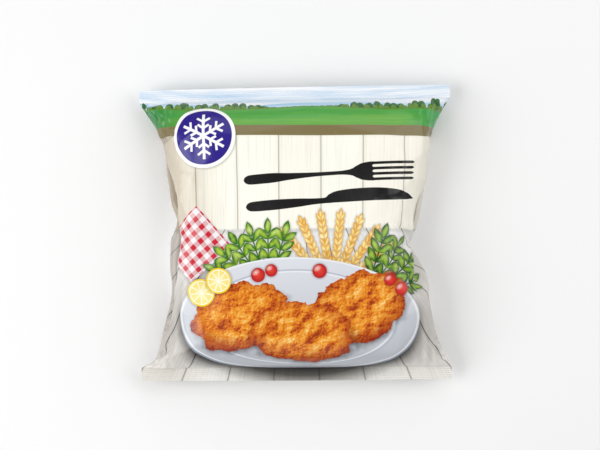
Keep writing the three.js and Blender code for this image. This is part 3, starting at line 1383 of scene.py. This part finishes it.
@dataclass(frozen=True)
class CitrusWheel:
    """A round slice of citrus fruit: rind, pith and pulp in segments, the last two as shares of it."""

    at: Pair
    radius: float
    turn: float
    segments: int = 9
    pith: float = 0.88
    pulp: float = 0.8
    wall_half_width: float = 0.55
    hub: float = 1.6
    shadow: Shadow = Shadow(1.2, 3.0, 0.5, "#7A6A58")

    def draw(self, canvas: Canvas) -> None:
        """Prints the slice and its shadow.

        Args:
            canvas: the print so far.
        """
        graph, sector = canvas.graph, TAU / self.segments
        reach, turned = graph.spokes(canvas.local(self.at, self.turn), sector)
        self.shadow.fall(canvas, reach - self.radius)
        canvas.lay(canvas.cover(reach - self.radius), ink("#F6D21E"))
        canvas.lay(canvas.cover(reach - self.radius * self.pith), ink("#FBF7DC"))
        wall = self.wall_half_width - abs(graph.maths("SINE", sector / 2 - abs(turned)) * reach)
        hub = self.hub - graph.maths("COSINE", turned) * reach
        pulp = (reach - self.radius * self.pulp).most(wall).most(hub)
        canvas.lay(canvas.cover(pulp), graph.blend(reach / self.radius, ink("#FBF0AE"), ink("#F4DB62")))


@dataclass(frozen=True)
class RedBeads:
    """Small round red fruits, each an x, a y and a radius, with a soft shine sized as shares of it."""

    beads: tuple[Triple, ...]
    shine_at: Pair = (-0.3, 0.35)
    shine_size: Pair = (0.35, 0.25)
    shine_turn: float = 30.0
    shine_soft: float = 0.4
    shine_strength: float = 0.75
    shadow: Shadow = Shadow(0.8, 2.4, 0.5, "#5E5A50")

    def draw(self, canvas: Canvas) -> None:
        """Prints each bead and its shadow.

        Args:
            canvas: the print so far.
        """
        graph = canvas.graph
        for x, y, radius in self.beads:
            reach = graph.length(canvas.local((x, y)))
            self.shadow.fall(canvas, reach - radius)
            middle = moved((x, y), (self.shine_at[0] * radius, self.shine_at[1] * radius))
            size = (self.shine_size[0] * radius, self.shine_size[1] * radius)
            shine = canvas.cover(canvas.oval(middle, size, self.shine_turn), radius * self.shine_soft)
            colour = graph.blend(reach / radius, ink("#E8412F"), ink("#B31317"))
            colour = graph.blend(shine * self.shine_strength, colour, ink("#FBD9CF"))
            canvas.lay(canvas.cover(reach - radius), colour)


@dataclass(frozen=True)
class BackPanels:
    """Two plain pale panels on the back, one each side of its seam, each framed and ruled."""

    middles: tuple[Pair, ...] = ((216.0, -14.0), (364.0, -14.0))
    half_sizes: Pair = (56.0, 74.0)
    corner: float = 5.0
    frame: float = 0.9
    margin: float = 6.0
    row: float = 12.0
    rule_half_width: float = 0.3

    def draw(self, canvas: Canvas) -> None:
        """Prints the panels, their frames and the rules across them.

        Args:
            canvas: the print so far.
        """
        off_rule = abs(canvas.graph.maths("FRACT", canvas.y / self.row) - 0.5) * self.row
        rules = canvas.cover(self.row / 2 - self.rule_half_width - off_rule)
        for middle in self.middles:
            panel = canvas.bar(middle, self.half_sizes, 0.0, self.corner)
            canvas.lay(canvas.cover(panel), ink("#877A52"))
            canvas.lay(canvas.cover(panel + self.frame), ink("#FAF9F4"))
            canvas.lay(canvas.cover(panel + self.margin) * rules, ink("#C9C3AE"))


@dataclass(frozen=True)
class FoldShade:
    """A soft painted shade along the folds: how far it reaches, its softness and each fold's tint."""

    reach: float
    soft: float
    tints: tuple[str, str, str]

    def shade(self, canvas: Canvas, within: Number = 1.0) -> None:
        """Paints shade over the print, where within is 1."""
        for fold, tint in zip(FOLDS, self.tints):
            canvas.shade(canvas.cover(abs(canvas.x - fold) - self.reach, self.soft) * within, ink(tint))


@dataclass(frozen=True)
class PrintDesign:
    """Everything printed on the film, from the ground up, with the painted shade and sheen laid over it.
    """

    wall: Boards = Boards(Run.UPRIGHT, 38.0, -14.5, "#FEFDF1", "#FAF5E6", "#B0A99D")
    table: Boards = Boards(Run.SPREADING, 41.0, 20.5, "#F3F2EF", "#E2DFDB", "#625E59", 1.4, 0.5)
    table_edge: float = 5.0
    edge_soft: float = 0.8
    edge_shadow: Shadow = Shadow(1.5, 3.0, 0.3, "#A5A29B")
    # painted sheen: a pale wash laid over the print below foot, towards the lower seal
    foot: float = -124.0
    sheen_soft: float = 26.0
    sheen_strength: float = 0.36
    seals_start: float = 116.0
    seals_soft: float = 26.0
    # the wall darker and more beige towards the left fold: partly its own tone, partly painted shade
    wall_tone_and_shade: FoldShade = FoldShade(62.0, 44.0, ("#E4DCD5", "#FFFFFF", "#E4DCD5"))
    # painted shade along the folds
    fold_shade: FoldShade = FoldShade(48.0, 36.0, ("#F0EEEB", "#FBFAF9", "#F0EEEB"))
    # painted shade close to the folds, kept off the seals
    side_shade: FoldShade = FoldShade(21.0, 22.0, ("#DAD6D3", "#E2DFDC", "#DAD6D3"))
    motifs: tuple[Any, ...] = (
        Heading(),
        Cutlery(),
        FrostBadge(),
        CheckedCloth(),
        SprigFan(
            at=(34.0, -52.0), turn=84.0, spread=15.0, reach=(-3, 3), start=22.0, pairs=8, pitch=5.6,
            leaf=(8.4, 1.9), lean=27.0, stem=0.5, edge="#E0A12E", middle="#FCE596", light="#FFF6D0",
        ),
        SprigFan(
            at=(62.0, -58.0), turn=52.0, spread=19.0, reach=(-2, 1), start=20.0, pairs=4, pitch=9.0,
            leaf=(16.0, 3.6), lean=42.0, stem=0.6, edge="#1F5414", middle="#8FB930", light="#DDE88A",
        ),
        SprigFan(
            at=(-24.0, -50.0), turn=108.0, spread=17.0, reach=(-2, 3), start=16.0, pairs=4, pitch=8.5,
            leaf=(15.0, 3.4), lean=44.0, stem=0.6, edge="#2F6E17", middle="#A8CB3C", light="#E9F0AC",
        ),
        Platter(),
        GoldenRounds(),
        CitrusWheel((-86.0, -52.0), 12.5, 10.0),
        CitrusWheel((-70.0, -41.0), 11.5, 28.0),
        RedBeads(
            (
                (-34.0, -36.0, 6.4), (-22.0, -32.0, 5.6), (22.0, -33.0, 6.6), (96.0, -52.0, 6.0),
                (86.0, -43.0, 5.4),
            )
        ),
        BackPanels(),
    )

    def paint(self, canvas: Canvas) -> bpy.types.NodeSocket:
        """Prints the whole film.

        Args:
            canvas: the bare film.

        Returns:
            The print's colour.
        """
        canvas.colour = self.wall.paint(canvas)
        # the wall darker and more beige towards the left fold: partly its own tone, partly painted shade
        self.wall_tone_and_shade.shade(canvas)
        under_wall = canvas.y - self.table_edge
        canvas.lay(canvas.cover(under_wall, self.edge_soft), self.table.paint(canvas))
        self.edge_shadow.fall(canvas, abs(under_wall + self.edge_shadow.reach))
        # painted sheen: a pale wash laid over the print below foot, towards the lower seal
        pale = canvas.cover(canvas.y - self.foot, self.sheen_soft) * self.sheen_strength
        canvas.lay(pale, ink("#FBF8F0"))
        # painted shade along the folds, and closer to them between the seals
        self.fold_shade.shade(canvas)
        self.side_shade.shade(canvas, canvas.cover(abs(canvas.y) - self.seals_start, self.seals_soft))
        for motif in self.motifs:
            motif.draw(canvas)
        return canvas.colour


# ---------------------------------------------------------------- the finishes


@dataclass(frozen=True)
class FilmFinish:
    """Printed plastic film: satin gloss, with fine creases in its skin.

    Wide and fine creases each have a noise, of a scale and a detail, a share of the creases' height and a
    spread of roughness. Middle is where the middle of the front lies on the flat tube.
    """

    name: str = "printed_film"
    middle: Pair = (145.0, 137.0)
    roughness: float = 0.25
    wide: Pair = (0.035, 2.0)
    wide_height: float = 0.8
    wide_spread: float = 0.10
    fine: Pair = (0.28, 3.0)
    fine_height: float = 0.12
    fine_spread: float = 0.06
    crease_height: float = 0.0004
    index: float = 1.5
    gloss: float = 0.4
    coat: float = 0.12
    coat_roughness: float = 0.08
    design: PrintDesign = PrintDesign()

    def make(self) -> bpy.types.Material:
        """Builds the material.

        Returns:
            The material, which reads the film's UV map.
        """
        material = bpy.data.materials.new(self.name)
        graph = node_graph(material)
        flat = graph.add("ShaderNodeUVMap", {"uv_map": "film"}).outputs[0]
        back = [-start - middle for start, middle in zip(UV_MARGIN, self.middle)]
        place = graph.add(
            "ShaderNodeMapping", Vector=flat, Location=(*back, 0.0), Scale=(UV_SPAN, UV_SPAN, 0.0)
        ).outputs[0]
        colour = self.design.paint(Canvas(graph, place))
        wide, fine = graph.noise(place, *self.wide), graph.noise(place, *self.fine)
        least = self.roughness - self.wide_spread / 2 - self.fine_spread / 2
        height = wide * self.wide_height + fine * self.fine_height
        bump = graph.add("ShaderNodeBump", Strength=1.0, Distance=self.crease_height, Height=height)
        surface = graph.add(
            "ShaderNodeBsdfPrincipled",
            Base_Color=colour,
            Roughness=wide * self.wide_spread + fine * self.fine_spread + least,
            Normal=bump.outputs[0],
            IOR=self.index,
            Specular_IOR_Level=self.gloss,
            Coat_Weight=self.coat,
            Coat_Roughness=self.coat_roughness,
        )
        graph.add("ShaderNodeOutputMaterial", Surface=surface.outputs[0])
        return material


@dataclass(frozen=True)
class SeamFinish:
    """The unprinted film of the back seam: milky white and cloudy, and rougher than the print."""

    name: str = "seam_film"
    colour: str = "#E9E6DC"
    cloud_colour: str = "#CFCABC"
    cloud: Pair = (90.0, 3.0)
    cloudiness: float = 0.3
    roughness: float = 0.42
    roughness_spread: float = 0.12
    index: float = 1.5

    def make(self) -> bpy.types.Material:
        """Builds the material.

        Returns:
            The material.
        """
        material = bpy.data.materials.new(self.name)
        graph = node_graph(material)
        cloud = graph.noise(graph.add("ShaderNodeTexCoord").outputs["Object"], *self.cloud)
        colour = graph.blend(cloud * self.cloudiness, ink(self.colour), ink(self.cloud_colour))
        rough = cloud * self.roughness_spread + (self.roughness - self.roughness_spread / 2)
        surface = graph.add("ShaderNodeBsdfPrincipled", Base_Color=colour, Roughness=rough, IOR=self.index)
        graph.add("ShaderNodeOutputMaterial", Surface=surface.outputs[0])
        return material


# ---------------------------------------------------------------- the pieces


class Socket(Enum):
    """The kinds of input that a geometry tree has."""

    GEOMETRY = "NodeSocketGeometry"
    NUMBER = "NodeSocketFloat"
    MATERIAL = "NodeSocketMaterial"


class ShapeTree(Graph):
    """A geometry tree with named inputs, which ends in Realize Instances and Set Material."""

    def __init__(self, name: str, inputs: dict[str, Socket]) -> None:
        """Makes the tree and its interface.

        Args:
            name: the tree's name.
            inputs: its inputs by name, after the geometry and before the material.
        """
        super().__init__(bpy.data.node_groups.new(name, "GeometryNodeTree"))
        face = self.tree.interface
        face.new_socket(name="Geometry", in_out="OUTPUT", socket_type=Socket.GEOMETRY.value)
        for title, kind in {"Geometry": Socket.GEOMETRY, **inputs, "Material": Socket.MATERIAL}.items():
            face.new_socket(name=title, in_out="INPUT", socket_type=kind.value)
        self.entry = self.add("NodeGroupInput")

    def given(self, title: str) -> Wire:
        """An input of the tree."""
        return Wire(self, self.entry.outputs[title])

    def attribute(self, title: str) -> Wire:
        """A number that the mesh holds under a name."""
        node = self.add("GeometryNodeInputNamedAttribute", {"data_type": "FLOAT"}, Name=title)
        return Wire(self, node.outputs[0])

    def end(self, geometry: bpy.types.NodeSocket) -> None:
        """Closes the tree on a geometry.

        Args:
            geometry: what the tree has made.
        """
        even = self.add("GeometryNodeSetShadeSmooth", Geometry=geometry).outputs[0]
        real = self.add("GeometryNodeRealizeInstances", Geometry=even).outputs[0]
        dressed = self.add("GeometryNodeSetMaterial", Geometry=real, Material=self.given("Material"))
        self.add("NodeGroupOutput", Geometry=dressed.outputs[0])

    def apply(self, piece: bpy.types.Object, values: dict[str, Any]) -> None:
        """Runs the tree on a piece and leaves it a plain mesh.

        Args:
            piece: the object whose mesh goes in.
            values: the tree's inputs by name.
        """
        modifier = piece.modifiers.new(self.tree.name, "NODES")
        modifier.node_group = self.tree
        for item in self.tree.interface.items_tree:
            if item.in_out == "INPUT" and item.name in values:
                modifier[item.identifier] = values[item.name]
        bpy.context.view_layer.update()
        done = piece.evaluated_get(bpy.context.evaluated_depsgraph_get())
        mesh = bpy.data.meshes.new_from_object(done)
        piece.modifiers.remove(modifier)
        piece.data = mesh
        mesh.name = piece.name


@dataclass
class BagFilm:
    """The tube of film with its two end seals, as one closed shell.

    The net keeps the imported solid's cells at first. Each finer net then lets smaller creases form. Waves
    are pairs of a length and a phase, for the lower seal and then for the upper one. Wear is how far the
    ribs' depth varies, as a share of it.
    """

    shape: BagShape
    columns: int = 96
    rows: int = 46
    coarse: Relaxing = Relaxing(steps=260, sweeps=8, push=0.35, bend=0.12, gap=0.8)
    finer: tuple[Relaxing, ...] = (
        Relaxing(steps=48, sweeps=7, push=0.12, bend=0.12, gap=0.6),
        Relaxing(steps=14, sweeps=6, push=0.05, bend=0.2, gap=0.5),
    )
    buckles: Buckles = Buckles()
    seal_rows: int = 36
    seal_thickness: float = 0.3
    rib_pitch: float = 2.0
    rib_depth: float = 0.52
    wear: float = 0.6
    wear_scale: float = 60.0
    flare: float = 0.8
    flare_waves: tuple[tuple[Pair, ...], ...] = (((148.0, 1.9), (63.0, 0.3)), ((131.0, 0.4), (58.0, 2.0)))
    pucker: float = 0.3
    pucker_reach: float = 9.0
    pucker_waves: tuple[tuple[Pair, ...], ...] = (
        ((14.5, 0.0), (9.06, 1.0), (23.2, 0.0)),
        ((14.5, 2.4), (9.06, 3.4), (23.2, 4.8)),
    )
    gather: float = 1.7
    gather_reach: float = 13.0
    gather_waves: tuple[tuple[Pair, ...], ...] = (
        ((11.4, 0.6), (8.3, 2.2), (17.0, 1.0)),
        ((11.4, 3.0), (8.3, 4.6), (17.0, 3.4)),
    )
    gather_start: float = 96.0
    gather_fade: float = 26.0
    crown_spare: float = 0.5
    net: FilmNet = field(init=False)

    def relax(self) -> None:
        """Fills the film, first on the solid's own net and then on the finer ones."""
        self.net = FilmNet(self.shape, self.columns, self.rows)
        self.net.relax(self.coarse)
        for how in self.finer:
            self.net.refine()
            self.net.relax(how)
        self.buckles.press_in(self.net)

    def _seal_ring(self, upper: bool, out: float) -> np.ndarray:
        """A ring of the seal, out millimetres beyond its inner line.

        Args:
            upper: True for the seal at +Y.
            out: how far the ring lies beyond the inner line.

        Returns:
            The ring's points.
        """
        net, half = self.net, self.net.columns // 2
        column = np.arange(net.columns)
        ring = self.shape.seal_line(upper, net.shares())
        side = np.where(column % half == 0, 0, np.where(column <= half, 0.5, -0.5))
        lift = ripple(ring[:, 0], self.flare_waves[upper]) * self.flare
        lift = lift * (out / self.shape.seal_depth) ** 2
        ring[:, 1] += out if upper else -out
        ring[:, 2] += lift - self.shape.seal_tilt * out + side * self.seal_thickness
        return ring

    @staticmethod
    def _near(distance: np.ndarray, reach: float) -> np.ndarray:
        """How strong a crease is at a distance from its seal: 0 at the seal and 1 at the reach."""
        return (distance / reach) * np.exp(1 - distance / reach)

    def _body(self) -> np.ndarray:
        """The free rows of the net, with small puckers beside the seals, as rings.

        Where the bag is thin, beside the ends of the seals, its two sides gather together in deeper ones.

        Returns:
            The rings' points.
        """
        net, half = self.net, self.net.columns // 2
        column = np.arange(net.columns)[:, None]
        u = column * 2 * self.shape.tube_width / net.columns
        across = net.shares()[:, None] * self.shape.tube_width
        v = np.arange(net.rows + 1)[None, :] * self.shape.body_length / net.rows
        body = net.nodes.copy()
        ends = smooth((np.abs(body[..., 0]) - self.gather_start) / self.gather_fade)
        outwards = np.where(column <= half, 1, -1)
        for upper, distance in enumerate((v, self.shape.body_length - v)):
            puckers = self._near(distance, self.pucker_reach) * ripple(u, self.pucker_waves[upper])
            gathers = self._near(distance, self.gather_reach) * ripple(across, self.gather_waves[upper])
            body[..., 2] += self.pucker * puckers * outwards + self.gather * gathers * ends
        body[..., 2] = np.clip(body[..., 2], 0, self.shape.crown_height + self.crown_spare)
        return body[:, 1:-1].transpose(1, 0, 2)

    def _lift_over_seam(self, rings: np.ndarray, seam: BackSeam) -> None:
        """Raises the back film where the seam's flap lies between it and the floor.

        Args:
            rings: the rings' points, which it moves.
            seam: the flap.
        """
        across = 2 * self.shape.tube_width / self.net.columns
        u = np.arange(self.net.columns) * across
        middle, half = seam.start + seam.width / 2, seam.width / 2
        lift = smooth(1 - (np.abs(u - middle) - half - across) / seam.shoulder) * seam.room
        rings[..., 2] = np.maximum(rings[..., 2], lift[None, :])

    def build(self, seam: BackSeam, material: bpy.types.Material) -> bpy.types.Object:
        """Makes the shell and crimps its seals.

        Args:
            seam: the flap that lies under the back film.
            material: the printed film.

        Returns:
            The film, with a UV map named film.
        """
        depth, rows = self.shape.seal_depth, self.seal_rows
        outs = [depth * i / rows for i in range(rows + 1)]
        low = np.stack([self._seal_ring(False, out) for out in reversed(outs)])
        high = np.stack([self._seal_ring(True, out) for out in outs])
        body = self._body()
        self._lift_over_seam(body, seam)
        rings = np.concatenate([low, body, high])
        length = self.shape.body_length
        steps = [length * j / self.net.rows for j in range(1, self.net.rows)]
        v = np.array([-out for out in reversed(outs)] + steps + [length + out for out in outs])
        beyond = np.maximum(np.maximum(-v, v - length), 0)
        piece = self._shell("film_bag", rings, v, beyond)
        self._crimp(piece, material)
        return piece

    def _shell(self, name: str, rings: np.ndarray, v: np.ndarray, beyond: np.ndarray) -> bpy.types.Object:
        """A closed mesh of the rings, with the film's coordinates on it.

        Args:
            name: the piece's name.
            rings: the points of each ring, from the lower seal to the upper one.
            v: each ring's place along the film.
            beyond: how far each ring lies beyond the inner line of its seal.

        Returns:
            The piece.
        """
        count, columns = rings.shape[:2]
        half = columns // 2
        across = 2 * self.shape.tube_width / columns
        ring, column = np.meshgrid(np.arange(count - 1), np.arange(columns), indexing="ij")
        around = [(0, 0), (0, 1), (1, 1), (1, 0)]
        quads = np.stack([(ring + r) * columns + (column + c) % columns for r, c in around], -1)
        flat = np.stack([np.stack([(column + c) * across, v[ring + r]], -1) for r, c in around], -2)
        faces = quads.reshape(-1, 4).tolist()
        places = flat.reshape(-1, 2).tolist()
        for end in (0, count - 1):
            for k in range(half):
                loop = [k, -k % columns, (-k - 1) % columns, k + 1]
                loop = loop[1:] if k == 0 else loop[:3] if k == half - 1 else loop
                loop = loop if end == 0 else loop[::-1]
                faces.append([end * columns + c for c in loop])
                places += [[min(c, columns - c) * across, v[end]] for c in loop]
        mesh = bpy.data.meshes.new(name)
        mesh.from_pydata((rings.reshape(-1, 3) * MM).tolist(), [], faces)
        layer = mesh.uv_layers.new(name="film")
        layer.data.foreach_set("uv", ((np.array(places) + UV_MARGIN) / UV_SPAN).ravel())
        u = np.tile(np.arange(columns) * across, count)
        for title, values in {"film_u": u, "beyond": np.repeat(beyond, columns)}.items():
            attribute = mesh.attributes.new(title, "FLOAT", "POINT")
            attribute.data.foreach_set("value", values.astype(np.float32))
        return placed(name, mesh)

    def _crimp(self, piece: bpy.types.Object, material: bpy.types.Material) -> None:
        """Presses the level ribs of the sealing jaws into both end seals.

        Args:
            piece: the film.
            material: its finish.
        """
        tree = ShapeTree("crimped_seal", {"Rib pitch": Socket.NUMBER, "Rib depth": Socket.NUMBER})
        beyond = tree.attribute("beyond")
        wave = tree.maths("COSINE", beyond / tree.given("Rib pitch") * TAU) - 1.0
        place = tree.add("GeometryNodeInputPosition").outputs[0]
        shade_and_wear = tree.noise(place, self.wear_scale, 1.0) * self.wear + (1 - self.wear / 2)
        rise = wave * tree.given("Rib depth") * shade_and_wear * 0.5
        ribbed = tree.add(
            "GeometryNodeSetPosition", Geometry=tree.entry.outputs["Geometry"], Offset=tree.join(z=rise)
        ).outputs[0]
        tree.end(ribbed)
        values = {"Rib pitch": self.rib_pitch, "Rib depth": self.rib_depth * MM, "Material": material}
        tree.apply(piece, values)


@dataclass
class BackSeam:
    """The seam down the middle of the back: a flap of both film edges, sealed and folded flat.

    Room is how far the back film rises over it. Points closer than joined become one, and slack lets in
    the row of points that lies on its start.
    """

    start: float = 435.0
    width: float = 10.6
    shoulder: float = 4.0
    room: float = 0.42
    clearance: float = 0.06
    thickness: float = 0.24
    rib_pitch: float = 2.4
    rib_depth: float = 0.07
    joined: float = 0.001
    slack: float = 0.01

    def build(self, film: bpy.types.Object, material: bpy.types.Material) -> bpy.types.Object:
        """Makes the flap along the finished film.

        Args:
            film: the film that it lies on.
            material: the flap's finish.

        Returns:
            The flap.
        """
        piece = placed("back_seam", film.data.copy())
        sizes = {
            "Start": self.start,
            "Width": self.width,
            "Clearance": self.clearance * MM,
            "Thickness": self.thickness * MM,
            "Rib pitch": self.rib_pitch * MM,
            "Rib depth": self.rib_depth * MM,
        }
        tree = ShapeTree("back_seam_flap", {title: Socket.NUMBER for title in sizes})
        u = tree.attribute("film_u")
        past = tree.maths("GREATER_THAN", u, tree.given("Start") - self.slack)
        short = tree.maths("LESS_THAN", u, tree.given("Start") + tree.given("Width"))
        strip = tree.add(
            "GeometryNodeSeparateGeometry",
            {"domain": "POINT"},
            Geometry=tree.entry.outputs["Geometry"],
            Selection=past * short,
        ).outputs[0]
        normal = tree.add("GeometryNodeInputNormal").outputs[0]
        away = tree.scaled(normal, tree.given("Clearance"))
        inner = tree.add("GeometryNodeSetPosition", Geometry=strip, Offset=away).outputs[0]
        raised = tree.add(
            "GeometryNodeExtrudeMesh", {"mode": "FACES"}, Mesh=inner, Offset_Scale=tree.given("Thickness"),
            Individual=False,
        )
        _, y = tree.split(tree.add("GeometryNodeInputPosition").outputs[0])
        wave = tree.maths("SINE", y / tree.given("Rib pitch") * TAU) * tree.given("Rib depth") * 0.5
        ribbed = tree.add(
            "GeometryNodeSetPosition", Geometry=raised.outputs["Mesh"], Selection=raised.outputs["Top"],
            Offset=tree.scaled(normal, wave),
        ).outputs[0]
        under = tree.add("GeometryNodeFlipFaces", Mesh=inner).outputs[0]
        both = tree.add("GeometryNodeJoinGeometry", Geometry=ribbed)
        tree.tree.links.new(under, both.inputs[0])
        closed = tree.add(
            "GeometryNodeMergeByDistance", Geometry=both.outputs[0], Distance=self.joined * MM
        ).outputs[0]
        tree.end(closed)
        tree.apply(piece, {**sizes, "Material": material})
        return piece


class PillowBag:
    """The whole bag: its film, dressed and crimped, and the seam down its back."""

    crease_angle = 55.0  # degrees, past which an edge looks sharp

    def __init__(self) -> None:
        """Takes the sizes of the film and of the seam."""
        self.film = BagFilm(BagShape())
        self.seam = BackSeam()

    def build(self) -> None:
        """Makes both pieces, sets them on the bag's body and reports them."""
        self.film.relax()
        film = self.film.build(self.seam, FilmFinish().make())
        seam = self.seam.build(film, SeamFinish().make())
        for piece in (film, seam):
            for title in ("film_u", "beyond"):
                held = piece.data.attributes.get(title)
                if held:
                    piece.data.attributes.remove(held)
            piece.data.set_sharp_from_angle(angle=math.radians(self.crease_angle))
            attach(piece, "root")
            vertices, faces = len(piece.data.vertices), len(piece.data.polygons)
            log.info("%s: %d vertices, %d faces", piece.name, vertices, faces)
        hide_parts("pillow_pack")


# ---------------------------------------------------------------- the studio


@dataclass(frozen=True)
class Softbox:
    """A square soft light: where it hangs, how wide it is and how strong, aimed at the bag."""

    name: str
    at: Triple
    size: float
    power: float

    def hang(self, target: Triple) -> None:
        """Puts the light up, facing the target.

        Args:
            target: the place that it faces.
        """
        data = bpy.data.lights.new(self.name, "AREA")
        data.size, data.energy = self.size, self.power
        lamp = placed(self.name, data)
        lamp.location = self.at
        way = np.subtract(target, self.at)
        flat = math.hypot(way[0], way[1])
        lamp.rotation_euler = (math.atan2(flat, -way[2]), 0.0, math.atan2(-way[0], way[1]))


@dataclass(frozen=True)
class Studio:
    """A pale floor, soft light from all round and a camera that looks straight down on the bag.

    A pixel is how much of the bag one shows at framed_height, and middle is the pixel over the origin.
    """

    target: Triple = (0.0, 0.0, 0.03)
    lens: float = 120.0
    sensor: float = 36.0
    pixel: float = 0.928 * MM
    frame_width: int = 600
    frame_height: int = 450
    middle: Pair = (295.5, 232.75)
    framed_height: float = 0.027
    floor_reach: float = 6.0
    floor_gap: float = 0.0002
    softboxes: tuple[Softbox, ...] = (
        Softbox("left_softbox", (-1.35, -0.25, 1.25), 1.4, 22.0),
        Softbox("right_softbox", (1.3, 0.3, 1.2), 1.5, 12.5),
        Softbox("far_softbox", (0.2, 1.4, 1.3), 1.5, 8.5),
        Softbox("near_softbox", (0.0, -1.4, 1.15), 1.5, 4.0),
    )
    surroundings: float = 0.275
    floor_colour: str = "#F4F4F4"
    floor_roughness: float = 0.7
    clip: Pair = (0.1, 50.0)

    def build(self) -> None:
        """Sets up the floor, the lights, the surroundings and the camera."""
        scene = bpy.context.scene
        scene.view_settings.view_transform = "Standard"
        self._floor()
        for softbox in self.softboxes:
            softbox.hang(self.target)
        scene.world = bpy.data.worlds.new("studio")
        graph = node_graph(scene.world)
        light = graph.add("ShaderNodeBackground", Color=ink("#FFFFFF"), Strength=self.surroundings)
        graph.add("ShaderNodeOutputWorld", Surface=light.outputs[0])
        self._camera()

    def _floor(self) -> None:
        """Lays the floor under the bag."""
        mesh = bpy.data.meshes.new("floor")
        reach, z = self.floor_reach, -self.floor_gap
        rim = [(-reach, -reach, z), (reach, -reach, z), (reach, reach, z), (-reach, reach, z)]
        mesh.from_pydata(rim, [], [range(4)])
        material = bpy.data.materials.new("pale_floor")
        graph = node_graph(material)
        colour, roughness = ink(self.floor_colour), self.floor_roughness
        surface = graph.add("ShaderNodeBsdfPrincipled", Base_Color=colour, Roughness=roughness)
        graph.add("ShaderNodeOutputMaterial", Surface=surface.outputs[0])
        mesh.materials.append(material)
        floor = placed("floor", mesh)

    def _camera(self) -> None:
        """Frames the bag as seen from straight above."""
        data = bpy.data.cameras.new("camera")
        data.lens, data.sensor_width = self.lens, self.sensor
        data.clip_start, data.clip_end = self.clip
        camera = placed("camera", data)
        width = self.frame_width * self.pixel
        height = self.framed_height + width * self.lens / self.sensor
        right = (self.frame_width / 2 - self.middle[0]) * self.pixel
        up = (self.middle[1] - self.frame_height / 2) * self.pixel
        camera.location = (right, up, height)
        bpy.context.scene.camera = camera


def main() -> None:
    """Loads the frame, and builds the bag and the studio."""
    logging.basicConfig(level=logging.INFO, format="%(name)s: %(message)s")
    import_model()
    PillowBag().build()
    Studio().build()


if __name__ == "__main__":
    main()
